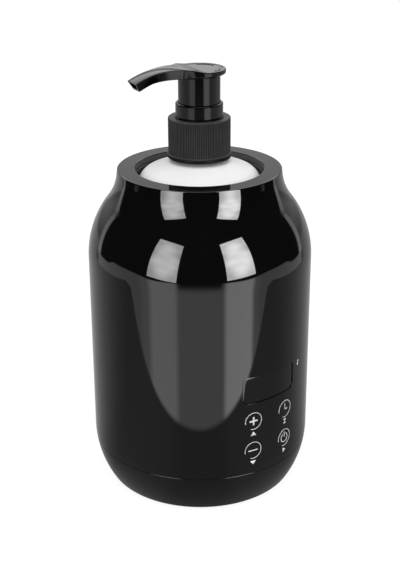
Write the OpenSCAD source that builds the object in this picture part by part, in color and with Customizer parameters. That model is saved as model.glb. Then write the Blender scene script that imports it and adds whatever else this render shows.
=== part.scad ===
// Massage oil warmer: jar-shaped heated housing, pump bottle standing in its well.
// Millimetres, +Z up, table at z = 0, control panel on the -Y side, axis of the body on Z.

/* [Body] */
// Outer diameter of the straight part of the housing
body_d = 104; // [98:0.5:112]
// Height of the flat rim above the table
rim_z = 154.5; // [150:0.5:165]
// Outer diameter of the rim
rim_d = 75.5; // [74:0.5:80]
// Diameter of the opening in the rim
opening_d = 59; // [58.5:0.1:61]
// Wall thickness of the moulded housing
wall = 2.5; // [2:0.1:3]
// Thickness of the rim plate
rim_t = 3; // [2.5:0.1:4]
// Bevel on the outer edge of the rim
rim_bevel = 0.8; // [0.3:0.1:1.2]
// Height over which the neck flares out to the full body
shoulder_h = 41.4; // [38:0.2:46]
// Radius of the hollow curve under the rim
neck_flare_r = 24; // [18:0.5:30]
// Height of the seam between shell and base above the table
seam_z = 21; // [19:0.5:23]
// Depth of the fine groove along the seam
seam_groove = 0.3; // [0.2:0.05:0.5]
// Height above the table where the side starts to curve under
base_curve_z = 26; // [24.5:0.5:28]
// Radius of the curve that tucks the base in
base_curve_r = 46; // [42:0.5:50]
// Radius of the edge between base curve and underside
base_edge_r = 3; // [2:0.1:4]
// How far the rubber feet stand proud of the base
foot_h = 1; // [0.6:0.1:2]
// Diameter of a rubber foot
foot_d = 10; // [8:0.5:12]

/* [Panel] */
// Height of the centre of the display window above the table
window_z = 64; // [62:0.5:68]
// Width of the display window
window_w = 30.2; // [27:0.2:32]
// Height of the display window
window_h = 13.4; // [12:0.2:15]
// Corner radius of the display window
window_r = 2.5; // [1.5:0.1:3.5]
// How far the window lies below the housing surface
window_recess = 0.35; // [0.2:0.05:0.6]
// Distance between the two columns of touch keys
key_dx = 19; // [17:0.5:21]
// Height of the upper row of touch keys
key_top_z = 48.3; // [47:0.1:50]
// Distance between the two rows of touch keys
key_dz = 14.9; // [13:0.1:16]
// Diameter of a sensor pad behind a key
key_pad_d = 7; // [5:0.5:8]

/* [Well and heater] */
// Height of the floor of the well above the table
well_floor_h = 26.5; // [26:0.5:30]
// Radial clearance between bottle and well
bottle_gap = 0.7; // [0.4:0.1:1]
// Sheet thickness of the well
well_t = 1; // [0.8:0.1:1.2]
// Thickness of the heating film
film_t = 0.5; // [0.3:0.1:0.8]
// Length of the heating film along the well
film_h = 82; // [60:1:86]
// Thickness of the insulation around the film
insulation_t = 2.8; // [2:0.1:2.9]

/* [Power inlet] */
// Height of the inlet centre above the table
inlet_z = 36; // [35:0.5:38]
// Diameter of the plug barrel that the inlet takes
plug_d = 5.5; // [4.8:0.1:5.6]
// Diameter of the centre pin
inlet_pin_d = 2.1; // [1.3:0.1:2.5]

/* [Bottle] */
// Outer diameter of the bottle
bottle_d = 56.4; // [54:0.2:56.4]
// Height of the bottle from its base to the top of the neck
bottle_h = 145.6; // [142:0.2:150]
// Wall thickness of the bottle
bottle_t = 1.2; // [0.9:0.1:1.6]
// Slope of the shoulder next to the neck, in degrees
bottle_slope = 22; // [15:1:30]
// Radius between bottle side and shoulder
bottle_round = 8; // [5:0.5:12]
// Height of the neck above the shoulder
neck_h = 13.2; // [12:0.2:14]
// Diameter of the neck at the thread root
neck_d = 21.7; // [20.5:0.1:22]
// Inner diameter of the neck
neck_bore_d = 18; // [16.5:0.1:18.4]
// Rise of the thread in one turn
thread_pitch = 3.175; // [2.8:0.005:3.6]
// Turns of thread on the neck
thread_turns = 1.25; // [1:0.05:1.4]

/* [Pump] */
// Outer diameter of the ribbed closure
closure_d = 28.2; // [27.6:0.1:30]
// Height of the closure
closure_h = 18.2; // [17:0.1:18.6]
// Number of grip ribs on the closure
rib_n = 108; // [60:2:120]
// Depth of the grip ribs
rib_t = 0.3; // [0.15:0.05:0.4]
// Extra radius of the smooth band at the foot of the closure
closure_lip = 0.4; // [0.2:0.1:0.8]
// Outer diameter of the lock ring
lock_d = 21.44; // [21.2:0.02:23]
// Outer diameter of the skirt under the pump head
skirt_d = 18.9; // [18:0.1:19]
// Travel of the pump head
stroke = 8.5; // [6:0.5:10]
// Space left between head and lock ring at the bottom of the travel
head_clear = 3.4; // [2:0.1:5]
// Diameter of the round plate of the pump head
head_d = 23.8; // [22:0.1:27]
// Depth of the head between its top and the underside of the spout root
head_t = 3.1; // [2.8:0.1:3.6]
// Thickness of the plate at its edge
head_edge_t = 2; // [1.4:0.1:2.4]
// Distance from the pump axis to the tip of the spout
spout_reach = 32.7; // [28:0.1:38]
// How far the tip of the spout lies below the round plate
spout_drop = 2.7; // [1.5:0.1:4]
// How far the arch of the spout rises above the round plate
spout_rise = 1.65; // [0.5:0.05:2]
// Distance from the pump axis to the top of that arch
spout_crest = 14.5; // [13:0.1:17]
// Width of the spout at its root
spout_root_w = 13; // [11:0.2:14]
// Width of the spout at its tip
spout_tip_w = 8.8; // [7:0.1:9.5]
// Height of the spout at its tip
spout_tip_h = 3.2; // [2.8:0.1:3.8]
// Direction in which the spout points at rest, in degrees from +X
spout_turn = 170; // [0:5:360]
// Outer diameter of the pump stem
stem_d = 6; // [5:0.1:6.4]
// Bore of the pump cylinder
pump_bore = 12; // [11.6:0.1:12.4]
// Diameter of the valve ball
ball_d = 6; // [5:0.1:6.2]
// Lift of the valve ball
ball_lift = 1.2; // [0.8:0.1:1.6]
// Outer diameter of the dip tube
dip_d = 5; // [4:0.1:5.4]

/* [Hidden] */
$fn = 96;

// Clearances: faces that stay put, faces that slide, and free air round moving pieces
fit_gap = 0.1;
slide_gap = 0.15;
free_gap = 0.3;
eps = 0.01;

// Shell
body_r = body_d / 2;
rim_r = rim_d / 2;
opening_r = opening_d / 2;
flare_dr = body_r - rim_r;
flare_sum = (flare_dr * flare_dr + shoulder_h * shoulder_h) / (2 * flare_dr);
flare_a = 2 * atan(flare_dr / shoulder_h);
shoulder_r = flare_sum - neck_flare_r;
shoulder_z = rim_z - shoulder_h;
inner_r = body_r - wall;
rim_under = rim_z - rim_t;
flare_n = 14;

// Base
base_cx = body_r - base_curve_r;
base_floor = foot_h + wall;
edge_cz = foot_h + base_edge_r;
edge_cx = base_cx + sqrt(pow(base_curve_r - base_edge_r, 2) - pow(base_curve_z - edge_cz, 2));
edge_a = atan2(base_curve_z - edge_cz, edge_cx - base_cx);
lip_t = 1.6;
lip_h = 4;
lip_r = inner_r - slide_gap;
lip_join_a = acos((lip_r - lip_t - base_cx) / (base_curve_r - wall));
floor_a = asin((base_curve_z - base_floor) / (base_curve_r - wall));
foot_ring = edge_cx - 7.5;
foot_seat = 1;
screw_ring = edge_cx - 4;
screw_boss_r = 4.4;
screw_head_r = 2.8;
screw_head_h = 2;
screw_shank_r = 1.5;
screw_seat_z = 12;
screw_len = 18;
column_top = screw_seat_z + screw_len + 6;
rib_plate_t = 3;

// Well, heater and insulation
bottle_r = bottle_d / 2;
well_r = bottle_r + bottle_gap;
well_out_r = well_r + well_t;
well_bottom = well_floor_h - well_t;
seal_t = 1;
seal_w = 3;
flange_w = 4;
flange_z = rim_under - seal_t - well_t;
collar_top = rim_under - fit_gap;
film_r = well_out_r + fit_gap;
film_z = well_floor_h + 11.5;
film_split = 12;
wrap_r = film_r + film_t + fit_gap;
wrap_z = film_z + 1.5;
wrap_h = film_h + 6;
support_rim_h = 3;
support_rim_t = 1.4;
support_r = well_out_r + fit_gap;
support_bore_r = 22;
leg_w = 8;
leg_n = 4;

// Panel and electronics
board_y = inner_r - 9;
board_t = 1.6;
board_w = 46;
board_z0 = seam_z + lip_h + 1.5;
board_top = window_z + window_h / 2 + 9;
board_h = board_top - board_z0;
board_back = board_y - board_t;
post_x = board_w / 2 - 3.5;
post_r = 3;
post_pilot_r = 0.95;
post_low_z = board_z0 + 3.5;
post_high_z = board_top - 3.5;
lens_face_r = body_r - window_recess;
lens_flange = 2;
lens_flange_t = 1.4;
display_w = 22.6;
display_h = window_h - 0.6;
display_t = 5.4;
key_low_z = key_top_z - key_dz;
connector_w = 8;
connector_h = 6;
connector_t = 4;
connector_x = 12;
connector_z = board_z0 + 7;
capacitor_r = 3;
capacitor_x = 9;
capacitor_h = board_back - wrap_r - insulation_t - 1.8;

// Power inlet
inlet_flat = body_r - 1;
inlet_flange_r = 6.3;
inlet_flange_t = 0.8;
inlet_body_r = 4;
inlet_len = 11;
inlet_back = inlet_flat - inlet_len;
inlet_bore_r = plug_d / 2 + 0.05;
inlet_bore_end = inlet_back + 2;
tab_len = 3.2;
nut_r = 6;
nut_t = 2;
nut_face = sqrt(inner_r * inner_r - nut_r * nut_r) - fit_gap;

// Leads
lead_run_r = (well_out_r + screw_ring - screw_boss_r) / 2;
lead_r = 0.6;
lead_start = 0.2;
lead_end = 0.12;
thin_lead_r = 0.4;
sensor_r = 1.1;
sensor_h = 4;
sensor_a = 160;
sensor_z = well_bottom + support_rim_h + 0.6;

// Bottle
bottle_z = well_floor_h + fit_gap;
neck_top = bottle_z + bottle_h;
neck_r = neck_d / 2;
neck_root_z = neck_top - neck_h;
round_cx = bottle_r - bottle_round;
round_a = 90 - bottle_slope;
round_end_x = round_cx + bottle_round * cos(round_a);
round_cz = neck_root_z - (round_end_x - neck_r) * tan(bottle_slope) - bottle_round * sin(round_a);
heel_r = 4.5;
push_up = 1.5;
push_r = 18;
thread_crest = 0.85;
thread_low_z = neck_top - 2.8 - thread_turns * thread_pitch;

// Pump stack on the neck
gasket_t = 0.8;
flange_t = 1;
flange_r = closure_d / 2 - 2.3;
closure_in_r = closure_d / 2 - 1.8;
lock_base = neck_top + gasket_t + flange_t;
lock_floor_t = 1.2;
lock_flange_h = 2.35;
lock_floor = lock_base + lock_floor_t;
closure_roof = lock_base + lock_flange_h + fit_gap;
closure_top_t = 1.4;
closure_top = closure_roof + closure_top_t;
closure_z = closure_top - closure_h;
lip_band_h = 2;
lock_r = lock_d / 2;
lock_bore_r = skirt_d / 2 + slide_gap;
lock_tube_r = lock_bore_r + 0.7;
closure_hole_r = lock_tube_r + slide_gap;
lock_bead = 0.3;
lock_bead_h = 0.8;
skirt_lap = 0.75;
skirt_z = lock_floor + stroke + 0.2;
lock_top = skirt_z + skirt_lap;
head_under = lock_top + stroke + head_clear;
head_top = head_under + head_t;

// Pump head
head_r = head_d / 2;
skirt_r = skirt_d / 2;
skirt_t = 1.4;
stem_r = stem_d / 2;
stem_bore_r = stem_r - 1.2;
socket_r = stem_r + 1.6;
socket_drop = 13;
head_roof = head_t + 0.8;
spout_root = 9.5;
spout_waist = 22;
spout_wall = 0.9;
tip_back = 2.1;
cone_drop = head_t + 0.4;

// Pump cylinder
bore_r = pump_bore / 2;
cylinder_r = bore_r + 1;
plug_len = 1.6;
guide_r = stem_r + free_gap;
piston_top = lock_base - plug_len - 0.2;
piston_h = 5;
piston_z = piston_top - piston_h;
stem_flange_t = 1.7;
stem_flange_r = bore_r - 1.2;
stem_z = piston_z - fit_gap - stem_flange_t;
stem_top = head_top - head_roof - fit_gap;
spring_wire_r = 0.45;
spring_r = bore_r - 1.1;
spring_turns = 6;
spring_top = stem_z - 0.05;
spring_z = spring_top - stroke - 10;
cage_t = 1.2;
cage_top = spring_z - 0.05;
cage_z = cage_top - cage_t;
ball_r = ball_d / 2;
ball_hole_r = ball_r - 0.8;
ball_rise = sqrt(pow(ball_r + 0.05, 2) - ball_hole_r * ball_hole_r);
chamber_r = ball_r + 1.2;
chamber_z = cage_z - 0.2 - ball_lift - ball_r - ball_rise;
chamber_floor_t = 1.5;
socket_top = chamber_z - chamber_floor_t;
dip_r = dip_d / 2;
dip_bore_r = dip_r - 0.8;
dip_socket_r = dip_r + 0.05;
dip_socket_len = 9;
dip_z = bottle_z + push_up + bottle_t + 3;

// Points of a circular arc
function arc(cx, cy, r, a0, a1, n) =
    [for (i = [0:n]) let(a = a0 + (a1 - a0) * i / n) [cx + r * cos(a), cy + r * sin(a)]];

function unit(v) = v / norm(v);

// Points of a rising coil round Z
function coil(r, z, pitch, a0, a1, n) =
    [for (i = [0:n]) let(a = a0 + (a1 - a0) * i / n) [r * cos(a), r * sin(a), z + pitch * a / 360]];

// Outline of a round wire
function wire_section(r, n) = [for (i = [0:n - 1]) [r * cos(360 * i / n), r * sin(360 * i / n)]];

// Route of a lead round the well: leaves at one radius, runs at another, ends at a third
function lead_path(a0, a1, r0, r1, z0, z1, z2, n) =
    [for (i = [0:n]) let(
        t = i / n,
        a = a0 + (a1 - a0) * t,
        s = pow(max(0, 1 - t / lead_start), 2),
        e = pow(max(0, 1 - (1 - t) / lead_end), 2),
        r = lead_run_r + (r0 - lead_run_r) * s + (r1 - lead_run_r) * e,
        z = z1 + (z0 - z1) * s + (z2 - z1) * e
    ) [r * cos(a), r * sin(a), z]];

// Solid carried along a path, its outline given as [outward, upward] pairs
module sweep(path, section) {
    n = len(path);
    m = len(section);
    points = [for (i = [0:n - 1]) let(
        t = unit(path[min(i + 1, n - 1)] - path[max(i - 1, 0)]),
        s = unit(cross(t, [0, 0, 1])),
        u = cross(s, t)
    ) for (q = section) path[i] + s * q[0] + u * q[1]];
    sides = [for (i = [0:n - 2], j = [0:m - 1]) let(k = (j + 1) % m)
        [i * m + j, i * m + k, (i + 1) * m + k, (i + 1) * m + j]];
    start = [[for (j = [0:m - 1]) m - 1 - j]];
    end = [[for (j = [0:m - 1]) (n - 1) * m + j]];
    polyhedron(points = points, faces = concat(sides, start, end), convexity = 6);
}

module tube(r_out, r_in, h) {
    difference() {
        cylinder(r = r_out, h = h);
        translate([0, 0, -eps]) cylinder(r = r_in, h = h + 2 * eps);
    }
}

// Rounded rectangle standing on the front of the housing, from the axis outwards
module panel_block(w, h, r) {
    translate([0, 0, window_z]) rotate([90, 0, 0]) linear_extrude(body_r + 1) {
        square([w - 2 * r, h], center = true);
        square([w, h - 2 * r], center = true);
        for (x = [-1, 1], y = [-1, 1]) translate([x * (w / 2 - r), y * (h / 2 - r)]) circle(r);
    }
}

module at_base_screws() {
    for (k = [0:3]) rotate([0, 0, 45 + 90 * k]) translate([screw_ring, 0, 0]) children();
}

module at_feet() {
    for (k = [0:3]) rotate([0, 0, 90 * k]) translate([foot_ring, 0, 0]) children();
}

module at_board_posts() {
    for (x = [-post_x, post_x], z = [post_low_z, post_high_z])
        translate([x, -board_y, z]) rotate([90, 0, 0]) children();
}

module at_keys() {
    for (x = [-key_dx / 2, key_dx / 2], z = [key_low_z, key_top_z])
        translate([x, -board_y, z]) rotate([90, 0, 0]) children();
}

module shell_wall() {
    seam_r = base_cx + sqrt(base_curve_r * base_curve_r - pow(base_curve_z - seam_z, 2));
    seam_a = asin((base_curve_z - seam_z) / base_curve_r);
    under_a = asin(rim_t / (neck_flare_r + wall));
    rotate_extrude() polygon(concat(
        [[seam_r - seam_groove, seam_z], [seam_r, seam_z + seam_groove]],
        arc(base_cx, base_curve_z, base_curve_r, -seam_a + 1, 0, 3),
        arc(body_r - shoulder_r, shoulder_z, shoulder_r, 0, flare_a, flare_n),
        arc(rim_r + neck_flare_r, rim_z, neck_flare_r,
            180 + flare_a * 0.94, 180 + asin(rim_bevel / neck_flare_r), flare_n),
        [[rim_r - rim_bevel, rim_z], [opening_r, rim_z], [opening_r, rim_under]],
        arc(rim_r + neck_flare_r, rim_z, neck_flare_r + wall, 180 + under_a, 180 + flare_a, flare_n),
        arc(body_r - shoulder_r, shoulder_z, shoulder_r - wall, flare_a * 0.94, 0, flare_n),
        [[inner_r, seam_z]]
    ));
}

module outer_shell() {
    color([0.02, 0.02, 0.022]) difference() {
        union() {
            shell_wall();
            intersection() {
                at_board_posts() cylinder(r = post_r, h = body_r);
                translate([0, 0, seam_z]) cylinder(r = inner_r + wall / 2, h = shoulder_z - seam_z);
                translate([-body_r, -body_r, 0]) cube([body_d, body_r - board_y, rim_z]);
            }
            at_base_screws() translate([0, 0, seam_z]) cylinder(r = screw_boss_r, h = column_top - seam_z);
            at_base_screws() translate([0, -rib_plate_t / 2, seam_z + lip_h + 1])
                cube([inner_r + wall / 2 - screw_ring, rib_plate_t, column_top - seam_z - lip_h - 1]);
        }
        panel_block(window_w, window_h, window_r);
        at_board_posts() translate([0, 0, -eps]) cylinder(r = post_pilot_r, h = 4.5);
        at_base_screws() translate([0, 0, seam_z - eps])
            cylinder(r = screw_shank_r + fit_gap / 2, h = screw_seat_z + screw_len + 2 - seam_z);
        translate([0, inlet_flat, inlet_z]) rotate([-90, 0, 0])
            cylinder(r = inlet_flange_r + slide_gap, h = wall);
        translate([0, inner_r - wall, inlet_z]) rotate([-90, 0, 0])
            cylinder(r = inlet_body_r + slide_gap, h = 3 * wall);
    }
}

module base_cap() {
    seam_a = asin((base_curve_z - seam_z) / base_curve_r);
    seam_r = base_cx + base_curve_r * cos(seam_a);
    color([0.02, 0.02, 0.022]) difference() {
        union() {
            rotate_extrude() polygon(concat(
                [[0, foot_h]],
                arc(edge_cx, edge_cz, base_edge_r, -90, -edge_a, 6),
                arc(base_cx, base_curve_z, base_curve_r, -edge_a + 2, -seam_a - 1, 8),
                [[seam_r, seam_z - seam_groove], [seam_r - seam_groove, seam_z], [lip_r, seam_z]],
                [[lip_r, seam_z + lip_h], [lip_r - lip_t, seam_z + lip_h]],
                arc(base_cx, base_curve_z, base_curve_r - wall, -lip_join_a, -floor_a, 8),
                [[0, base_floor]]
            ));
            at_base_screws() translate([0, 0, foot_h + wall / 2])
                cylinder(r = screw_boss_r, h = seam_z - foot_h - wall / 2);
        }
        at_feet() translate([0, 0, foot_h - eps]) cylinder(r = foot_d / 2 + fit_gap, h = foot_seat + eps);
        at_base_screws() {
            translate([0, 0, foot_h - eps])
                cylinder(r = screw_head_r + free_gap, h = screw_seat_z - foot_h + eps);
            cylinder(r = screw_shank_r + slide_gap, h = seam_z + 1);
        }
    }
}

module display_window() {
    color([0.05, 0.045, 0.05, 0.7]) union() {
        intersection() {
            panel_block(window_w - 2 * slide_gap, window_h - 2 * slide_gap, window_r - slide_gap);
            translate([0, 0, window_z - window_h])
                tube(lens_face_r, inner_r - fit_gap - lens_flange_t, 2 * window_h);
        }
        intersection() {
            panel_block(window_w + 2 * lens_flange, window_h + 2 * lens_flange, window_r + lens_flange);
            translate([0, 0, window_z - window_h])
                tube(inner_r - fit_gap, inner_r - fit_gap - lens_flange_t, 2 * window_h);
        }
    }
}

module control_board() {
    color([0.05, 0.24, 0.12]) difference() {
        translate([-board_w / 2, -board_y, board_z0]) cube([board_w, board_t, board_h]);
        at_board_posts() translate([0, 0, -board_t - 1]) cylinder(r = post_pilot_r + 0.25, h = board_t + 2);
    }
}

module display_module() {
    color([0.03, 0.03, 0.035])
        translate([-display_w / 2, -board_y - display_t, window_z - display_h / 2])
            cube([display_w, display_t, display_h]);
}

module touch_pads() {
    color([0.18, 0.18, 0.19]) intersection() {
        at_keys() cylinder(d = key_pad_d, h = body_r - board_y);
        translate([0, 0, key_low_z - key_pad_d]) cylinder(r = inner_r - fit_gap, h = key_dz + 2 * key_pad_d);
    }
}

module microcontroller() {
    color([0.04, 0.04, 0.045]) translate([-4, -board_back, window_z - 4]) cube([8, 1.6, 8]);
}

module heater_switch() {
    color([0.05, 0.05, 0.055]) translate([6, -board_back, key_top_z - 3.5]) cube([6.5, 2.3, 7]);
}

module filter_capacitor() {
    color([0.1, 0.12, 0.3]) translate([-capacitor_x, -board_back, key_top_z]) rotate([-90, 0, 0])
        cylinder(r = capacitor_r, h = capacitor_h);
}

module wire_connectors() {
    color([0.9, 0.88, 0.8]) for (x = [-connector_x, connector_x])
        translate([x - connector_w / 2, -board_back, connector_z - connector_h / 2])
            cube([connector_w, connector_t, connector_h]);
}

module board_screws() {
    color([0.6, 0.6, 0.6]) at_board_posts() {
        translate([0, 0, -board_t - 1.5]) cylinder(r = 1.9, h = 1.5);
        translate([0, 0, -board_t - 0.5]) cylinder(r = post_pilot_r - 0.02, h = board_t + 4);
    }
}

module base_screws() {
    color([0.6, 0.6, 0.6]) at_base_screws() difference() {
        union() {
            translate([0, 0, screw_seat_z - screw_head_h]) cylinder(r = screw_head_r, h = screw_head_h);
            translate([0, 0, screw_seat_z - 0.5]) cylinder(r = screw_shank_r, h = screw_len + 0.5);
        }
        for (a = [0, 90]) rotate([0, 0, a]) translate([-1.6, -0.4, screw_seat_z - screw_head_h - eps])
            cube([3.2, 0.8, 1.1]);
    }
}

module rubber_feet() {
    color([0.06, 0.06, 0.06]) at_feet() cylinder(d = foot_d, h = foot_h + foot_seat);
}

module heating_well() {
    color([0.12, 0.12, 0.13]) rotate_extrude() polygon([
        [0, well_bottom], [well_out_r - 1.5, well_bottom], [well_out_r, well_bottom + 1.5],
        [well_out_r, flange_z], [well_out_r + flange_w, flange_z], [well_out_r + flange_w, flange_z + well_t],
        [well_out_r, flange_z + well_t], [well_out_r, collar_top], [well_r, collar_top],
        [well_r, well_floor_h + 1], [well_r - 1, well_floor_h], [0, well_floor_h]
    ]);
}

module well_seal() {
    color([0.3, 0.3, 0.31]) translate([0, 0, flange_z + well_t])
        tube(well_out_r + fit_gap + seal_w, well_out_r + fit_gap, seal_t);
}

module well_support() {
    color([0.75, 0.74, 0.7]) difference() {
        union() {
            translate([0, 0, well_bottom - 3]) tube(support_r + support_rim_t, support_bore_r, 3);
            translate([0, 0, well_bottom - eps])
                tube(support_r + support_rim_t, support_r, support_rim_h + eps);
            translate([0, 0, base_floor]) tube(support_r, support_bore_r, 2);
            for (k = [0:leg_n - 1]) rotate([0, 0, 90 * k])
                translate([support_bore_r + 1.5, -leg_w / 2, base_floor + eps])
                    cube([5, leg_w, well_bottom - base_floor - 1]);
        }
    }
}

module film_heater() {
    color([0.72, 0.36, 0.08]) translate([0, 0, film_z]) difference() {
        tube(film_r + film_t, film_r, film_h);
        rotate([0, 0, -film_split / 2]) translate([0, 0, -1]) rotate_extrude(angle = film_split)
            translate([film_r - 2, 0]) square([6, film_h + 2]);
    }
}

module insulation_sleeve() {
    color([0.82, 0.82, 0.8]) translate([0, 0, wrap_z]) tube(wrap_r + insulation_t, wrap_r, wrap_h);
}

module temperature_sensor() {
    color([0.1, 0.1, 0.1]) rotate([0, 0, sensor_a]) translate([well_out_r + sensor_r + 0.05, 0, sensor_z])
        cylinder(r = sensor_r, h = sensor_h);
}

module thermal_fuse() {
    color([0.85, 0.83, 0.78]) translate([0, 10, well_bottom - 1.65]) rotate([0, 90, 0]) {
        translate([0, 0, -5]) cylinder(r = 1.6, h = 10);
        translate([0, 0, -10]) cylinder(r = 0.4, h = 20);
    }
}

module power_inlet() {
    color([0.04, 0.04, 0.045]) translate([0, 0, inlet_z]) rotate([-90, 0, 0]) difference() {
        union() {
            translate([0, 0, inlet_back]) cylinder(r = inlet_body_r, h = inlet_len + inlet_flange_t);
            translate([0, 0, inlet_flat]) cylinder(r = inlet_flange_r, h = inlet_flange_t);
            for (x = [-2, 2]) translate([x - 0.9, -0.35, inlet_back - tab_len]) cube([1.8, 0.7, tab_len + 1]);
        }
        translate([0, 0, inlet_bore_end]) cylinder(r = inlet_bore_r, h = inlet_len + 2);
        translate([0, 0, inlet_back + 0.8]) cylinder(d = inlet_pin_d, h = 2);
    }
}

module inlet_pin() {
    color([0.8, 0.68, 0.36]) translate([0, 0, inlet_z]) rotate([-90, 0, 0]) {
        translate([0, 0, inlet_back + 0.8]) cylinder(d = inlet_pin_d - 0.02, h = inlet_len - 2.2);
        translate([0, 0, inlet_flat - 1.4])
            cylinder(r1 = inlet_pin_d / 2 - 0.01, r2 = inlet_pin_d / 4, h = 0.8);
    }
}

module inlet_nut() {
    color([0.7, 0.7, 0.68]) translate([0, nut_face - nut_t, inlet_z]) rotate([-90, 0, 0]) difference() {
        cylinder(r = nut_r, h = nut_t, $fn = 6);
        translate([0, 0, -eps]) cylinder(r = inlet_body_r + 0.02, h = nut_t + 2 * eps);
    }
}

// Leads end at the side of a connector
lead_end_x = connector_x + connector_w / 2 + lead_r + 0.05;
lead_end_y = board_back - connector_t / 2;
lead_end_r = norm([lead_end_x, lead_end_y]);
lead_end_a = atan2(lead_end_y, lead_end_x);

module power_leads() {
    color([0.6, 0.05, 0.05]) for (k = [0, 1])
        sweep(lead_path(84 - 6 * k, -lead_end_a, inlet_back - tab_len - lead_r - 0.1, lead_end_r,
            inlet_z, inlet_z - 2.6 + 1.6 * k, connector_z - 1 + 2 * k, 26), wire_section(lead_r, 8));
}

module heater_leads() {
    color([0.85, 0.85, 0.83]) for (k = [0, 1])
        sweep(lead_path(104 + 8 * k, 180 + lead_end_a, film_r + film_t + lead_r + 0.05, lead_end_r,
            film_z + 0.5, film_z - 3.6 + 1.6 * k, connector_z + 0.4 + 1.6 * k, 26), wire_section(lead_r, 8));
}

module sensor_leads() {
    color([0.1, 0.1, 0.1]) for (k = [0, 1])
        sweep(lead_path(sensor_a + 1, 180 + lead_end_a,
            well_out_r + 2 * sensor_r + thin_lead_r + 0.1, lead_end_r,
            sensor_z + 2.4 + 1.2 * k, sensor_z + 2.4 + 1.2 * k, connector_z - 2.4 + 1.2 * k, 18),
            wire_section(thin_lead_r, 6));
}

module bottle_wall() {
    inner_round = bottle_round - bottle_t;
    inner_end_x = round_cx + inner_round * cos(round_a);
    inner_end_z = round_cz + inner_round * sin(round_a);
    bore_r0 = neck_bore_d / 2;
    rotate_extrude() polygon(concat(
        [[0, bottle_z + push_up], [push_r, bottle_z + push_up], [push_r + push_up, bottle_z]],
        arc(bottle_r - heel_r, bottle_z + heel_r, heel_r, -90, 0, 6),
        arc(round_cx, round_cz, bottle_round, 0, round_a, 10),
        [[neck_r, neck_root_z], [neck_r, neck_top], [bore_r0, neck_top]],
        [[bore_r0, inner_end_z + (inner_end_x - bore_r0) * tan(bottle_slope)]],
        arc(round_cx, round_cz, inner_round, round_a, 0, 10),
        arc(bottle_r - heel_r, bottle_z + heel_r, heel_r - bottle_t, 0, -90, 6),
        [[push_r + push_up + 0.5, bottle_z + bottle_t], [push_r, bottle_z + push_up + bottle_t]],
        [[0, bottle_z + push_up + bottle_t]]
    ));
}

module bottle() {
    color([0.93, 0.93, 0.92]) union() {
        bottle_wall();
        sweep(coil(neck_r, thread_low_z, thread_pitch, 0, 360 * thread_turns, 40),
            [[-0.4, -0.75], [thread_crest, -0.3], [thread_crest, 0.3], [-0.4, 0.75]]);
    }
}

module neck_gasket() {
    color([0.8, 0.8, 0.78]) translate([0, 0, neck_top]) tube(neck_r + 0.3, cylinder_r + 0.2, gasket_t);
}

module pump_housing() {
    color([0.9, 0.9, 0.88]) rotate_extrude() polygon([
        [bore_r, lock_base], [flange_r, lock_base], [flange_r, lock_base - flange_t],
        [cylinder_r, lock_base - flange_t], [cylinder_r, cage_z - 2], [chamber_r + 1, cage_z - 4],
        [chamber_r + 1, socket_top], [dip_socket_r + 1.2, socket_top - 1],
        [dip_socket_r + 1.2, socket_top - dip_socket_len], [dip_socket_r, socket_top - dip_socket_len],
        [dip_socket_r, socket_top], [ball_hole_r, socket_top], [ball_hole_r, chamber_z],
        [chamber_r, chamber_z], [chamber_r, cage_z], [bore_r, cage_z]
    ]);
}

module valve_cage() {
    color([0.85, 0.85, 0.83]) translate([0, 0, cage_z]) difference() {
        tube(bore_r - fit_gap, ball_hole_r, cage_t);
        for (k = [0:2]) rotate([0, 0, 120 * k]) translate([ball_hole_r + 0.4, 0, -eps])
            cylinder(r = 1, h = cage_t + 2 * eps);
    }
}

module check_ball() {
    color([0.75, 0.78, 0.8]) translate([0, 0, chamber_z + ball_rise]) sphere(r = ball_r);
}

module dip_tube() {
    color([0.92, 0.92, 0.9]) translate([0, 0, dip_z]) tube(dip_r, dip_bore_r, socket_top - 0.2 - dip_z);
}

module lock_ring() {
    round_r = 0.7;
    bead_z = closure_top + slide_gap;
    color([0.03, 0.03, 0.032]) rotate_extrude() polygon(concat(
        [[guide_r, lock_base - plug_len], [bore_r - 0.02, lock_base - plug_len], [bore_r - 0.02, lock_base]],
        [[flange_r, lock_base], [flange_r, lock_base + lock_flange_h]],
        [[lock_tube_r, lock_base + lock_flange_h], [lock_tube_r, bead_z]],
        [[lock_r + lock_bead, bead_z], [lock_r + lock_bead, bead_z + lock_bead_h / 2]],
        [[lock_r, bead_z + lock_bead_h]],
        arc(lock_r - round_r, lock_top - round_r, round_r, 0, 90, 5),
        [[lock_bore_r, lock_top], [lock_bore_r, lock_floor], [guide_r, lock_floor]]
    ));
}

module closure() {
    r = closure_d / 2;
    pitch_a = 360 / rib_n;
    bevel = 0.4;
    core = r - rib_t - 0.15;
    color([0.035, 0.035, 0.037]) union() {
        difference() {
            union() {
                translate([0, 0, closure_z + lip_band_h / 2])
                    linear_extrude(closure_h - lip_band_h / 2 - bevel)
                    polygon([for (i = [0:2 * rib_n - 1]) let(q = r - rib_t * (i % 2), a = i * pitch_a / 2)
                        [q * cos(a), q * sin(a)]]);
                rotate_extrude() polygon([
                    [0, closure_z], [r + closure_lip - 0.3, closure_z], [r + closure_lip, closure_z + 0.3],
                    [r + closure_lip, closure_z + lip_band_h - closure_lip],
                    [r + 0.05, closure_z + lip_band_h],
                    [core, closure_z + lip_band_h], [core, closure_top - bevel],
                    [core - bevel, closure_top], [0, closure_top]
                ]);
            }
            translate([0, 0, closure_z - eps]) cylinder(r = closure_in_r, h = closure_roof - closure_z + eps);
            translate([0, 0, closure_z]) cylinder(r = closure_hole_r, h = closure_h + 1);
        }
        sweep(coil(closure_in_r, thread_low_z - thread_pitch / 2, thread_pitch, 60, 360, 32),
            [[-0.95, -0.3], [0.4, -0.75], [0.4, 0.75], [-0.95, 0.3]]);
    }
}

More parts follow.
